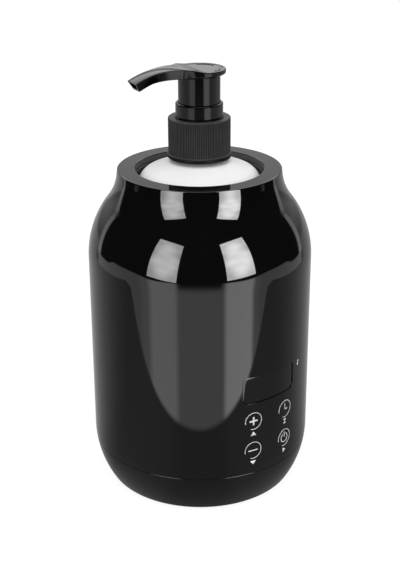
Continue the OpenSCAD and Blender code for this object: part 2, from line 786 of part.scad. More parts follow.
module piston() {
    lip = 1.2;
    color([0.9, 0.9, 0.88]) rotate_extrude() polygon([
        [stem_r + 0.05, piston_z], [bore_r - 1, piston_z], [bore_r - 0.08, piston_z + 0.3],
        [bore_r - 0.08, piston_z + lip], [bore_r - 0.5, piston_z + lip + 0.6],
        [bore_r - 0.5, piston_top - lip - 0.6], [bore_r - 0.08, piston_top - lip],
        [bore_r - 0.08, piston_top - 0.3], [bore_r - 1, piston_top], [stem_r + 0.05, piston_top]
    ]);
}

module pump_stem() {
    color([0.88, 0.88, 0.86]) rotate_extrude() polygon([
        [stem_bore_r, stem_z], [stem_flange_r, stem_z], [stem_flange_r, stem_z + stem_flange_t],
        [stem_r, stem_z + stem_flange_t], [stem_r, stem_top], [stem_bore_r, stem_top]
    ]);
}

module return_spring() {
    length = spring_top - spring_z - 2 * spring_wire_r;
    color([0.7, 0.7, 0.72]) sweep(
        coil(spring_r, spring_z + spring_wire_r, length / spring_turns,
            0, 360 * spring_turns, 18 * spring_turns),
        wire_section(spring_wire_r, 6));
}

// Height of the arched top of the spout above the round plate, blended into the plate at its root
function arch(x, r) = spout_rise - r + sqrt(r * r - pow(x - spout_crest, 2));

function spout_top(x, r) =
    x >= spout_root ? arch(x, r) : arch(spout_root, r) * pow(x / spout_root, 2) * (3 - 2 * x / spout_root);

// Side view of the spout, z measured from the top of the round plate
module spout_side(inset, end) {
    span = spout_reach - spout_crest;
    fall = spout_drop + spout_rise;
    top_r = (span * span + fall * fall) / (2 * fall);
    low_span = span - tip_back;
    low_fall = spout_drop + spout_tip_h - head_t;
    low_r = (low_span * low_span + low_fall * low_fall) / (2 * low_fall);
    low_a = asin(low_span / low_r);
    polygon(concat(
        [[0, -head_t + inset]],
        [for (i = [0:20]) let(x = spout_reach * i / 20) [x, spout_top(x, top_r) - inset]],
        [[spout_reach + end, -spout_drop - inset]],
        [[spout_reach - tip_back + end, -spout_drop - spout_tip_h + inset]],
        arc(spout_crest, -head_t - low_r, low_r + inset, 90 - low_a, 90, 10)
    ));
}

// Spout body or, inset by its wall, the channel inside it
module spout_form(inset, end) {
    root_w = spout_root_w / 2 - inset;
    tip_w = spout_tip_w / 2 - inset;
    intersection() {
        translate([0, spout_root_w, 0]) rotate([90, 0, 0]) linear_extrude(2 * spout_root_w)
            spout_side(inset, end);
        translate([0, 0, -2 * head_t - spout_drop - spout_tip_h])
            linear_extrude(4 * head_t + spout_drop + spout_tip_h)
            polygon([[0, -root_w], [spout_root, -root_w], [spout_waist, -tip_w], [spout_reach + 2, -tip_w],
                [spout_reach + 2, tip_w], [spout_waist, tip_w], [spout_root, root_w], [0, root_w]]);
    }
}

module pump_head() {
    edge = 0.4;
    color([0.03, 0.03, 0.032]) translate([0, 0, head_top]) rotate([0, 0, spout_turn]) difference() {
        union() {
            rotate_extrude() polygon([
                [0, 0], [head_r - edge, 0], [head_r, -edge], [head_r, -head_edge_t],
                [skirt_r, -cone_drop], [skirt_r, skirt_z - head_top], [skirt_r - skirt_t, skirt_z - head_top],
                [skirt_r - skirt_t, -head_roof], [socket_r, -head_roof], [socket_r, -socket_drop],
                [stem_r + 0.02, -socket_drop], [stem_r + 0.02, -head_roof], [0, -head_roof]
            ]);
            spout_form(0, 0);
        }
        translate([0, 0, -head_roof - eps]) cylinder(r = stem_bore_r, h = head_roof - 1.5);
        spout_form(spout_wall, 1);
    }
}

outer_shell();
base_cap();
display_window();
control_board();
display_module();
touch_pads();
microcontroller();
heater_switch();
filter_capacitor();
wire_connectors();
board_screws();
base_screws();
rubber_feet();
heating_well();
well_seal();
well_support();
film_heater();
insulation_sleeve();
temperature_sensor();
thermal_fuse();
power_inlet();
inlet_pin();
inlet_nut();
power_leads();
heater_leads();
sensor_leads();
bottle();
neck_gasket();
pump_housing();
valve_cage();
check_ball();
dip_tube();
lock_ring();
closure();
piston();
pump_stem();
return_spring();
pump_head();
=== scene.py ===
import math

import bpy
import numpy as np
from mathutils import Matrix


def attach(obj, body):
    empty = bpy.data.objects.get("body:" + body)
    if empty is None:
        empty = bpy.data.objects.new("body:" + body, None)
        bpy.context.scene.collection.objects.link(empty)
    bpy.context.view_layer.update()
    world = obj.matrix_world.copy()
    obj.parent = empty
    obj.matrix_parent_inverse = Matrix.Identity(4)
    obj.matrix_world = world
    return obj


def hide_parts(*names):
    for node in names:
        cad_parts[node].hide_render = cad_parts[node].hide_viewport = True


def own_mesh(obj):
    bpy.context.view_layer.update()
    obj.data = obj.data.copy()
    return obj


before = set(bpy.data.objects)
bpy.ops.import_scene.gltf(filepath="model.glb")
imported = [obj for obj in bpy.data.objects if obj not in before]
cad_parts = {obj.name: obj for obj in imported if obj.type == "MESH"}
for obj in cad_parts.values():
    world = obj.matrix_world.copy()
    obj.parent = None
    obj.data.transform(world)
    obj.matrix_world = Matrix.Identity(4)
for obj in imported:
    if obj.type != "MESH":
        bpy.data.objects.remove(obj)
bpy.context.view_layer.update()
scene = bpy.context.scene
mm = 0.001
print("frame loaded, %d CAD nodes" % len(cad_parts))


# all sizes are in millimetres and are turned to metres when a mesh is made

def smoothStep(low, high, x):
    # 0 below low, 1 above high, an S between them
    t = np.clip((x - low) / (high - low), 0, 1)
    return t * t * (3 - 2 * t)


def gridFaces(rows, cols, closeRows=False, closeCols=False):
    # one quad between each four neighbours of a grid of points
    i = np.arange(rows if closeRows else rows - 1)
    j = np.arange(cols if closeCols else cols - 1)
    a, b = np.meshgrid(i, j, indexing="ij")
    c, d = (a + 1) % rows, (b + 1) % cols
    return np.stack([a * cols + b, a * cols + d, c * cols + d, c * cols + b], -1).reshape(-1, 4)


def outward(points, faces):
    # the volume that a closed surface encloses is positive when its faces look out
    p = points[faces]
    sixfold = np.einsum("ij,ij->i", p[:, 0], np.cross(p[:, 1], p[:, 2]) + np.cross(p[:, 2], p[:, 3]))
    return faces if sixfold.sum() > 0 else faces[:, ::-1]


def faceAlong(points, faces, way):
    # turns round the faces of an open sheet that look against the way given for their middles
    k = points[faces]
    normal = np.cross(k[:, 2] - k[:, 0], k[:, 3] - k[:, 1])
    against = np.einsum("ij,ij->i", normal, way(k.mean(1))) < 0
    faces[against] = faces[against][:, ::-1]
    return points, faces


def arcPoints(cx, cz, radius, start, end, count):
    # points of a circular arc, angles in degrees
    a = np.radians(np.linspace(start, end, count))
    return np.stack([cx + radius * np.cos(a), cz + radius * np.sin(a)], -1)


def roundCorners(corners, steps=5, hold=0.06):
    # corners are (x, z, radius): each becomes an arc that touches both sides, with a point close by
    # on each side, so that the flat faces next to it stay flat when shaded smooth
    c = np.array(corners, float)
    made = []
    for k in range(len(c)):
        p, radius = c[k, :2], c[k, 2]
        if radius <= 0 or k in (0, len(c) - 1):
            made.append(p[None])
            continue
        u, v = c[k - 1, :2] - p, c[k + 1, :2] - p
        u, v = u / np.linalg.norm(u), v / np.linalg.norm(v)
        half = math.acos(np.clip(u @ v, -1, 1)) / 2
        touch = radius / math.tan(half)
        middle = p + (u + v) / np.linalg.norm(u + v) * radius / math.sin(half)
        t = np.linspace(0, 1, steps)[:, None]
        chord = (p + u * touch) * (1 - t) + (p + v * touch) * t - middle
        arc = middle + chord / np.linalg.norm(chord, axis=1)[:, None] * radius
        made.append(np.concatenate([(p + u * (touch + hold))[None], arc, (p + v * (touch + hold))[None]]))
    return np.concatenate(made)


def solidGrid(grid, closeRows=False):
    # a grid of points that is closed round its columns, with faces that look out
    points = grid.reshape(-1, 3)
    return points, outward(points, gridFaces(*grid.shape[:2], closeRows, True))


def around(r, z, a):
    # carried round the Z axis: x = r sin a, y = -r cos a
    return np.stack([r * np.sin(a), -r * np.cos(a), z + 0 * a], -1)


def revolve(profile, cols, close=True):
    # every profile point (r, z) carried once round the axis
    a = np.linspace(0, 2 * np.pi, cols, endpoint=False)
    return solidGrid(around(profile[:, 0:1], profile[:, 1:2], a), close)


def sweepTube(path, radius, sides):
    # a round section carried along a path, standing square to it, with its two ends closed to a point
    t = np.gradient(path, axis=0)
    t /= np.linalg.norm(t, axis=1)[:, None]
    s = np.cross(t, [0, 0, 1.0])
    s /= np.linalg.norm(s, axis=1)[:, None]
    u = np.cross(s, t)
    a = np.linspace(0, 2 * np.pi, sides, endpoint=False)
    ring = s[:, None] * np.cos(a)[None, :, None] + u[:, None] * np.sin(a)[None, :, None]
    grid = path[:, None] + radius * ring
    return solidGrid(np.concatenate([0 * grid[:1] + path[0], grid, 0 * grid[:1] + path[-1]]))


def squareEdge(cellsU, cellsV):
    # places along the edge of a square from -1 to 1, once round from its lower left corner
    u = np.linspace(-1, 1, cellsU + 1)[:-1]
    v = np.linspace(-1, 1, cellsV + 1)[:-1]
    one = np.ones_like
    return np.concatenate([u, one(v), -u, -one(v)]), np.concatenate([-one(u), v, one(u), -v])


def roundRect(p, q, halfW, halfH, corner):
    # carries the edge of that square to a rectangle with round corners, evenly along each half side;
    # with all three sizes alike it is a circle
    side = np.abs(p) >= np.abs(q)
    along = np.where(side, np.abs(q) * (halfH - corner + np.pi * corner / 4),
                     np.abs(p) * (halfW - corner + np.pi * corner / 4))
    past = along - np.where(side, halfH - corner, halfW - corner)
    f = np.clip(past, 0, None) / corner
    flat = past <= 0
    x = np.where(side, np.where(flat, halfW, halfW - corner + corner * np.cos(f)),
                 np.where(flat, along, halfW - corner + corner * np.sin(f)))
    z = np.where(side, np.where(flat, along, halfH - corner + corner * np.sin(f)),
                 np.where(flat, halfH, halfH - corner + corner * np.cos(f)))
    return np.sign(p) * x, np.sign(q) * z


class GridShell:
    # a grid closed round its columns, in which blocks of cells can give way to holes and pockets
    def __init__(self, grid, closeRows):
        self.rows, self.cols = grid.shape[:2]
        self.keep = np.ones((self.rows if closeRows else self.rows - 1, self.cols), bool)
        self.all = gridFaces(self.rows, self.cols, closeRows=closeRows, closeCols=True)
        self.points = [grid.reshape(-1, 3)]
        self.count = self.rows * self.cols
        self.extra = []

    def block(self, rowA, rowB, colA, colB):
        # takes the cells out and returns the numbers of the points round them, and their places on the square
        self.keep[rowA:rowB, colA:colB] = False
        c, r = np.arange(colA, colB), np.arange(rowA, rowB)
        ring = np.concatenate([rowA * self.cols + c, r * self.cols + colB,
                               rowB * self.cols + colB - (c - colA), (rowB - (r - rowA)) * self.cols + colA])
        return ring, *squareEdge(colB - colA, rowB - rowA)

    def place(self, ring):
        # where the numbered points of a ring are
        return np.concatenate(self.points)[ring]

    def add(self, ring, loops):
        # joins a ring of points to further loops of as many points, and returns the last one's numbers
        for loop in loops:
            new = self.count + np.arange(len(loop))
            self.join(ring, new)
            self.points.append(loop)
            self.count += len(loop)
            ring = new
        return ring

    def join(self, ringA, ringB):
        # a strip of quads between two rings of as many points
        self.extra.append(np.stack([ringA, np.roll(ringA, -1), np.roll(ringB, -1), ringB], -1))

    def result(self):
        # the cells that are kept and the added strips, with faces that look out
        points = np.concatenate(self.points)
        faces = np.concatenate([self.all[self.keep.ravel()], *self.extra])
        return points, outward(points, faces)


def makePiece(name, shells, body, material, stands=(), sharp=38, solid=0):
    # one object of one or more closed shells; the doubles at each shell's poles and seams are welded
    start, points, faces = 0, [], []
    for p, f in shells:
        exact = np.round(p * 1e5).astype(np.int64)
        first, where = np.unique(exact, axis=0, return_index=True, return_inverse=True)[1:]
        points.append(p[first])
        faces.append(where.reshape(-1)[f] + start)
        start += len(first)
    points, faces = np.concatenate(points) * mm, np.concatenate(faces)
    quad = np.ones(faces.shape, bool)
    for k in range(4):
        quad[:, k] = faces[:, k] != faces[:, k - 1]  # a corner that fell on its neighbour is left out
    size = quad.sum(1)
    faces, quad, size = faces[size > 2], quad[size > 2], size[size > 2]
    mesh = bpy.data.meshes.new(name)
    mesh.vertices.add(len(points))
    mesh.vertices.foreach_set("co", points.astype(np.float32).ravel())
    mesh.loops.add(int(size.sum()))
    mesh.loops.foreach_set("vertex_index", faces[quad].astype(np.int32))
    mesh.polygons.add(len(faces))
    mesh.polygons.foreach_set("loop_start", np.concatenate([[0], np.cumsum(size)[:-1]]).astype(np.int32))
    mesh.polygons.foreach_set("use_smooth", np.ones(len(faces), bool))
    mesh.update(calc_edges=True)
    mesh.validate()
    mesh.set_sharp_from_angle(angle=math.radians(sharp))
    piece = bpy.data.objects.new(name, mesh)
    scene.collection.objects.link(piece)
    mesh.materials.append(material)
    if solid:
        thick = piece.modifiers.new("thickness", "SOLIDIFY")
        thick.thickness = solid * mm
        thick.offset = -1
    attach(piece, body)
    if stands:
        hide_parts(*stands)
    return piece


class Wire:
    # a socket of a node tree; the operators add Math nodes
    def __init__(self, finish, socket):
        self.finish, self.socket = finish, socket

    def reckon(self, operation, a, b=0.0):
        return self.finish.node("ShaderNodeMath", {"operation": operation}, {0: a, 1: b})

    def __add__(self, o): return self.reckon("ADD", self, o)
    def __radd__(self, o): return self.reckon("ADD", o, self)
    def __sub__(self, o): return self.reckon("SUBTRACT", self, o)
    def __rsub__(self, o): return self.reckon("SUBTRACT", o, self)
    def __mul__(self, o): return self.reckon("MULTIPLY", self, o)
    def __rmul__(self, o): return self.reckon("MULTIPLY", o, self)
    def __pow__(self, o): return self.reckon("POWER", self, o)
    def __neg__(self): return self.reckon("MULTIPLY", self, -1)
    def __abs__(self): return self.reckon("ABSOLUTE", self)
    def most(self, o): return self.reckon("MAXIMUM", self, o)


class Finish:
    # a node tree with one method for every node
    def __init__(self, tree):
        self.tree = tree
        tree.nodes.clear()

    def node(self, kind, settings=None, sockets=None, out=0):
        # returns the output that is asked for, or a list where several are
        n = self.tree.nodes.new(kind)
        for key, value in (settings or {}).items():
            setattr(n, key, value)
        for key, value in (sockets or {}).items():
            socket = n.inputs[key]
            if isinstance(value, Wire):
                self.tree.links.new(value.socket, socket)
            else:
                socket.default_value = value
        if isinstance(out, tuple):
            return [Wire(self, n.outputs[k]) for k in out]
        return Wire(self, n.outputs[out]) if n.outputs else n

    def objectCoords(self):
        return self.node("ShaderNodeTexCoord", out="Object")

    def noise(self, coords, scale, detail=2.0, rough=0.5):
        sockets = {"Vector": coords, "Scale": scale, "Detail": detail, "Roughness": rough}
        return self.node("ShaderNodeTexNoise", {}, sockets, "Fac")

    def stretch(self, coords, scale, turn=0.0):
        return self.node("ShaderNodeMapping", {}, {"Vector": coords, "Rotation": (0, 0, turn), "Scale": scale})

    def ramp(self, value, low, high):
        # 0 at low and 1 at high, an S between them
        sockets = {"Value": value, "From Min": low, "From Max": high}
        return self.node("ShaderNodeMapRange", {"interpolation_type": "SMOOTHSTEP"}, sockets)

    def between(self, value, a, b, c, d):
        # rises from a to b and falls from c to d
        return self.ramp(value, a, b) * (1 - self.ramp(value, c, d))

    def mixColour(self, factor, a, b):
        return self.node("ShaderNodeMix", {"data_type": "RGBA"}, {0: factor, 6: a, 7: b}, 2)

    def split(self, vector):
        return self.node("ShaderNodeSeparateXYZ", {}, {"Vector": vector}, ("X", "Y", "Z"))

    def bump(self, height, strength, distance):
        sockets = {"Height": height, "Strength": strength, "Distance": distance}
        return self.node("ShaderNodeBump", {}, sockets, "Normal")

    def blend(self, factor, a, b):
        return self.node("ShaderNodeMixShader", {}, {0: factor, 1: a, 2: b})

    def glow(self, colour, strength=1.0):
        return self.node("ShaderNodeEmission", {}, {"Color": colour, "Strength": strength})


def grey(v):
    return (v, v, v, 1)


def shade(colour, share):
    # a colour made darker or lighter, at most white
    return (*[min(1, c * share) for c in colour], 1)


def newMaterial(name):
    # a material with an empty node tree
    material = bpy.data.materials.new(name)
    material.use_nodes = True
    return material, Finish(material.node_tree)


def finishSurface(f, sockets):
    # one Principled shader with these values and links
    shader = f.node("ShaderNodeBsdfPrincipled", {}, sockets, "BSDF")
    f.node("ShaderNodeOutputMaterial", {}, {"Surface": shader})


def mouldedPlastic(name, colour, rough, spread=0.15, mottle=60, grain=1500, roughSpread=0.05,
                   dust=0.0, bump=0.0, bumpScale=300, shine=0.5, bands=()):
    # moulded plastic: slow drift of colour and gloss, fine grain, and a little dust that dulls it
    material, f = newMaterial(name)
    at = f.objectCoords()
    slow, fine = f.noise(at, mottle, 3), f.noise(at, grain, 2)
    base = f.mixColour(f.ramp(slow, 0.3, 0.7), shade(colour, 1 - spread), shade(colour, 1 + spread))
    roughness = rough + roughSpread * (slow - 0.5) + 0.4 * roughSpread * (fine - 0.5)
    if dust:
        specks = f.ramp(f.noise(at, grain * 0.9, 1, 0.4), 0.70, 0.78)
        base = f.mixColour(specks * dust, base, grey(0.25))
        roughness = roughness + 0.3 * dust * specks
    for band in bands:  # a zone within a radius of the axis and between two heights has its own grey and gloss; in some zones that grey is painted light or painted shade, in others the part's own finish
        x, y, z = f.split(at)
        soft = 0.2  # width of the zone's edge
        reach, low, high = [band[k] * mm for k in ("radius", "low", "high")]
        within = 1 - f.ramp((x * x + y * y) ** 0.5, reach, reach + soft * mm)
        inside = within * f.between(z, low, low + soft * mm, high, high + soft * mm)
        base = f.mixColour(inside, base, grey(band["grey"]))
        roughness = roughness + band["rough"] * inside
    sockets = {"Base Color": base, "Roughness": roughness.most(0.015), "Specular IOR Level": shine}
    if bump:
        sockets["Normal"] = f.bump(f.noise(at, bumpScale, 2), bump, 0.0004)
    finishSurface(f, sockets)
    return material


def spunMetal(name, colour, rough, scale=(300, 300, 6000), wear=0.12):
    # metal with fine lines along one direction and duller patches from handling
    material, f = newMaterial(name)
    at = f.objectCoords()
    lines = f.noise(f.stretch(at, scale), 1.0, 3)
    patch = f.noise(at, 250, 2)
    base = f.mixColour(f.ramp(lines, 0.3, 0.7), shade(colour, 0.8), shade(colour, 1.1))
    roughness = rough + wear * (lines - 0.5) + wear * f.ramp(patch, 0.5, 0.75)
    normal = f.bump(lines, 0.08, 0.0002)
    finishSurface(f, {"Base Color": base, "Metallic": 1.0, "Roughness": roughness, "Normal": normal})
    return material


def patterned(name, colourA, colourB, rough, kind, scale, low=0.45, high=0.55, bump=0.1, grain=900):
    # two colours shared out by a pattern (wave, cells or fibres), over a fine grain
    material, f = newMaterial(name)
    at = f.objectCoords()
    if kind == "wave":
        sockets = {"Vector": at, "Scale": scale, "Distortion": 0.6, "Detail": 1.0}
        pattern = f.node("ShaderNodeTexWave", {"wave_type": "BANDS", "bands_direction": "Z"}, sockets, "Fac")
    elif kind == "cells":
        sockets = {"Vector": at, "Scale": scale}
        pattern = f.node("ShaderNodeTexVoronoi", {"feature": "DISTANCE_TO_EDGE"}, sockets, "Distance") * 4
    else:
        pattern = f.noise(f.stretch(at, (1, 1, 0.2)), scale, 5, 0.65)
    fine = f.noise(at, grain, 2)
    base = f.mixColour(f.ramp(pattern, low, high), (*colourA, 1), (*colourB, 1))
    base = f.mixColour(0.25 * fine, base, shade(colourA, 0.6))
    roughness, normal = rough + 0.12 * (fine - 0.5), f.bump(pattern, bump, 0.0005)
    finishSurface(f, {"Base Color": base, "Roughness": roughness, "Normal": normal})
    return material


blackGloss = {"colour": (0.0021, 0.0021, 0.0023), "rough": 0.03, "spread": 0.12, "mottle": 18, "grain": 2600,
              "roughSpread": 0.012, "dust": 0.03}
housingGloss = mouldedPlastic("housing_gloss", **blackGloss, bands=[
    {"radius": 29.6, "low": 150.5, "high": 154.0, "grey": 0.075, "rough": 0.4}])  # inside of the rim: painted light, a grey that stands in for the light this gloss black wall reflects, and a rougher finish
baseGloss = mouldedPlastic("base_gloss", **blackGloss, bands=[
    {"radius": 44.0, "low": -1.0, "high": 1.6, "grey": 0.012, "rough": 0.45}])  # underside
windowTint = mouldedPlastic("window_tint", (0.0042, 0.0036, 0.0036), 0.025, mottle=40, roughSpread=0.012)
printInk = mouldedPlastic("print_ink", (0.72, 0.72, 0.71), 0.45, spread=0.06, mottle=500, grain=4000, roughSpread=0.2)
wellSatin = mouldedPlastic("well_satin", (0.012, 0.012, 0.013), 0.22, mottle=120, roughSpread=0.1,
                           bump=0.05, bumpScale=900)
bottleSatin = mouldedPlastic("bottle_satin", (0.78, 0.78, 0.775), 0.46, spread=0.02, mottle=45, grain=1800,
                             roughSpread=0.1, bump=0.05, bumpScale=350, shine=0.2)
closureSatin = mouldedPlastic("closure_satin", (0.052, 0.052, 0.053), 0.45, mottle=150, grain=2200,
                              roughSpread=0.12, bump=0.04, bumpScale=1200, shine=0.1, bands=[
    {"radius": 13.86, "low": 161.7, "high": 177.4, "grey": 0.020, "rough": 0.3},  # painted shade deep in the grooves between the ribs, which are also duller
    {"radius": 20.0, "low": 159.0, "high": 161.4, "grey": 0.010, "rough": -0.15}])  # glossier lip
pumpGloss = mouldedPlastic("pump_gloss", (0.0022, 0.0022, 0.0024), 0.08, mottle=90, roughSpread=0.04,
                           dust=0.02, shine=0.25)
footRubber = mouldedPlastic("foot_rubber", (0.018, 0.018, 0.018), 0.75, mottle=300, grain=3000, roughSpread=0.15,
                            bump=0.25, bumpScale=1800)
springSteel = spunMetal("spring_steel", (0.56, 0.56, 0.58), 0.25)
print("finishes for the new pieces made")


# housing: outer shell with rim, window hole and inlet pocket

shell = {
    "radius": 52.0, "wall": 2.5, "baseCurve": 46.0, "baseCurveTop": 26.0, "edgeRound": 3.0,
    "seam": 21.0, "seamEdge": 0.14, "seamGap": 0.03, "seamRun": 0.3, "seamHold": 0.02,
    "rimTop": 154.5, "rimRadius": 37.75, "rimUnder": 151.5, "opening": 29.5, "rimBevel": 0.45,
    "flareHeight": 41.4, "neckCurve": 24.0, "neckSlope": 8.0,
    "window": (30.2, 13.4, 2.5, 64.0), "windowFrame": 8.4, "windowEdge": 0.07,  # width, height, corner, middle
    "inlet": (6.45, 4.15, 36.0, 51.0), "inletFrame": 8.0, "inletEdge": 0.12,  # flange, bore, middle, flat from the axis
    "columns": ((-90, 46), (-21, 70), (21, 99), (170, 26), (190, 53), (270, 0)),  # first degree of a stretch, columns
}


def flareArcs():
    # two arcs that meet on their common tangent: hollow under the rim, full at the shoulder
    s = shell
    out = s["radius"] - s["rimRadius"]
    both = (out * out + s["flareHeight"] ** 2) / (2 * out)
    return both - s["neckCurve"], math.degrees(2 * math.atan(out / s["flareHeight"]))


def shellProfile():
    # closed outline of the shell wall, up the outside, over the rim and down the inside;
    # also the numbers of the rows that frame the inlet and the window, outside and inside
    s = shell
    big, turn = flareArcs()
    wall, low = s["wall"], s["rimTop"] - s["flareHeight"]
    cx, neckX = s["radius"] - s["baseCurve"], s["rimRadius"] + s["neckCurve"]
    zi, zw = s["inlet"][2], s["window"][3]
    frames = {"inletLow": zi - s["inletFrame"], "inletHigh": zi + s["inletFrame"],
              "windowLow": zw - s["windowFrame"], "windowHigh": zw + s["windowFrame"]}
    levels = [s["baseCurveTop"], *frames.values(), low]
    straight = np.concatenate([np.linspace(a, b, n, endpoint=False) for a, b, n
                               in zip(levels, levels[1:], (2, 24, 4, 30, 9))] + [[low]])
    bottomTurn = math.degrees(math.asin((s["baseCurveTop"] - s["seam"] - s["seamRun"]) / s["baseCurve"]))
    seamR = cx + s["baseCurve"] * math.cos(math.radians(bottomTurn))
    seamZ, hold = s["seam"] + s["seamGap"], s["seamHold"]
    foot = roundCorners([(s["radius"] - wall, seamZ, 0), (seamR - hold, seamZ, s["seamEdge"]),
                         (seamR, s["seam"] + s["seamRun"] + 0.01, 0)], 5, hold)[1:-1]
    curve = arcPoints(cx, s["baseCurveTop"], s["baseCurve"], -bottomTurn, 0, 7)[:-1]
    firstRow = len(foot) + len(curve)
    rows = {k: firstRow + int(np.abs(straight - z).argmin()) for k, z in frames.items()}
    slope = math.radians(s["neckSlope"])
    neckR, neckZ = neckX - s["neckCurve"] * math.cos(slope), s["rimTop"] - s["neckCurve"] * math.sin(slope)
    edgeR = neckR - (s["rimTop"] - neckZ) * math.tan(slope)  # the last of the neck runs straight up to the rim
    hollow = s["neckCurve"] + wall
    underTurn = math.asin((s["rimTop"] - s["rimUnder"]) / hollow)
    rim = roundCorners([
        (neckR, neckZ, 0), (edgeR, s["rimTop"], s["rimBevel"]), (s["opening"], s["rimTop"], 0.3),
        (s["opening"], s["rimUnder"], 0.2), (neckX - hollow * math.cos(underTurn), s["rimUnder"], 0)], 6)
    outer = np.concatenate([
        foot, curve, np.stack([np.full_like(straight, s["radius"]), straight], -1),
        arcPoints(s["radius"] - big, low, big, 0, turn, 34)[1:],
        arcPoints(neckX, s["rimTop"], s["neckCurve"], 180 + turn, 180 + s["neckSlope"], 30)[1:-1], rim])
    innerNeck = np.concatenate([
        arcPoints(neckX, s["rimTop"], hollow, 180 + math.degrees(underTurn) + 2, 180 + turn, 12),
        arcPoints(s["radius"] - big, low, big - wall, turn, 0, 14)[1:-1]])
    innerWall = np.stack([np.full_like(straight, s["radius"] - wall), straight[::-1]], -1)
    lastRow = len(outer) + len(innerNeck) + len(innerWall) - 1
    mirror = {k: lastRow - (v - firstRow) for k, v in rows.items()}
    return np.concatenate([outer, innerNeck, innerWall, [[s["radius"] - wall, seamZ]]]), rows, mirror


def cylinderLoop(x, z, radius, side):
    # points over (x, z) on a cylinder round the axis; side is -1 for the front and 1 for the back
    return np.stack([x, side * np.sqrt(radius ** 2 - x * x), z], -1)


def buildShell():
    # the outline carried round the axis, where two blocks of cells give way to loops that lead from the
    # block's frame to the edge of the window and of the inlet
    s = shell
    profile, rows, mirror = shellProfile()
    starts, counts = zip(*s["columns"])
    angles = np.radians(np.concatenate([
        np.linspace(a, b, n, endpoint=False) for a, b, n in zip(starts, starts[1:], counts)]))
    first = np.cumsum((0, *counts))
    grid = GridShell(around(profile[:, 0:1], profile[:, 1:2], angles), True)
    width, height, corner, zw = s["window"]
    flange, bore, zi, flat = s["inlet"]

    def leading(ring, hx, hz, radius, side, shares):
        # loops on the round wall between the points of a ring and the edge of a hole
        start = grid.place(ring)
        return [cylinderLoop(start[:, 0] * (1 - t) + hx * t, start[:, 2] * (1 - t) + hz * t, radius, side)
                for t in shares]

    def opening(name, cols, half, centre, side, edgeLoops, innerHalf):
        # frames a hole outside and inside the wall, and joins the two
        ring, p, q = grid.block(rows[name + "Low"], rows[name + "High"], *cols)
        p = -side * p  # at the back the columns run from right to left
        hx, hz = roundRect(p, q, *half)
        loops = leading(ring, hx, centre + hz, s["radius"], side, (0.3, 0.6, 0.85, 0.97, 1.0))
        last = grid.add(ring, loops + edgeLoops(p, q))
        ringIn, pIn, qIn = grid.block(mirror[name + "High"], mirror[name + "Low"], *cols)
        pIn = -side * pIn
        hx, hz = roundRect(pIn, qIn, *innerHalf)
        lastIn = grid.add(ringIn, leading(ringIn, hx, centre - hz, s["radius"] - s["wall"], side, (0.5, 1.0)))
        match = ((p[:, None] - pIn) ** 2 + (q[:, None] + qIn) ** 2).argmin(1)
        grid.join(last, lastIn[match])

    def windowEdge(p, q):
        # a quarter round over the edge, then straight into the wall
        made = []
        for k in np.linspace(0, np.pi / 2, 5)[1:]:
            e = s["windowEdge"] * math.sin(k)
            x, zz = roundRect(p, q, width / 2 - e, height / 2 - e, corner - e)
            made.append(cylinderLoop(x, zw + zz, s["radius"] - s["windowEdge"] * (1 - math.cos(k)), -1))
        return made + [cylinderLoop(x, zw + zz, s["radius"] - depth, -1) for depth in (0.2, 1.2)]

    def inletEdge(p, q):
        # from the round of the wall down to the flat seat of the flange and over into the bore
        e, made = s["inletEdge"], []
        for radius, depth in ((flange - e, None), (flange - e, flat + e), (flange - e - 0.02, flat),
                              (bore + 0.1, flat), (bore, flat - e)):
            x, zz = roundRect(p, q, radius, radius, radius)
            y = np.sqrt(s["radius"] ** 2 - x * x) - 0.08 if depth is None else np.full_like(x, depth)
            made.append(np.stack([x, y, zi + zz], -1))
        return made

    e = s["windowEdge"]
    opening("window", first[1:3], (width / 2, height / 2, corner), zw, -1, windowEdge,
            (width / 2 - e, height / 2 - e, corner - e))
    opening("inlet", first[3:5], (flange, flange, flange), zi, 1, inletEdge, (bore, bore, bore))
    makePiece("outer_shell_skin", [grid.result()], "warmer", housingGloss, ["outer_shell"], sharp=32)


buildShell()
print("outer shell done")


# base with foot seats and screw wells

base = {
    "underside": 1.0, "floor": 3.5, "edgeCentre": (42.95, 4.0), "lip": (49.35, 1.6, 4.0),
    "footRing": 35.45, "footSeat": (5.1, 2.0), "screwRing": 38.95,
    "screwWell": (3.1, 6.0, 12.0), "boss": (3.75, 8.0, 13.6),  # radius, a height on the way and the end
    "pocketRows": (28.0, 42.8), "bossRows": (42.9, 34.9), "footCols": 11, "screwCols": 9, "firstAngle": -70,
}


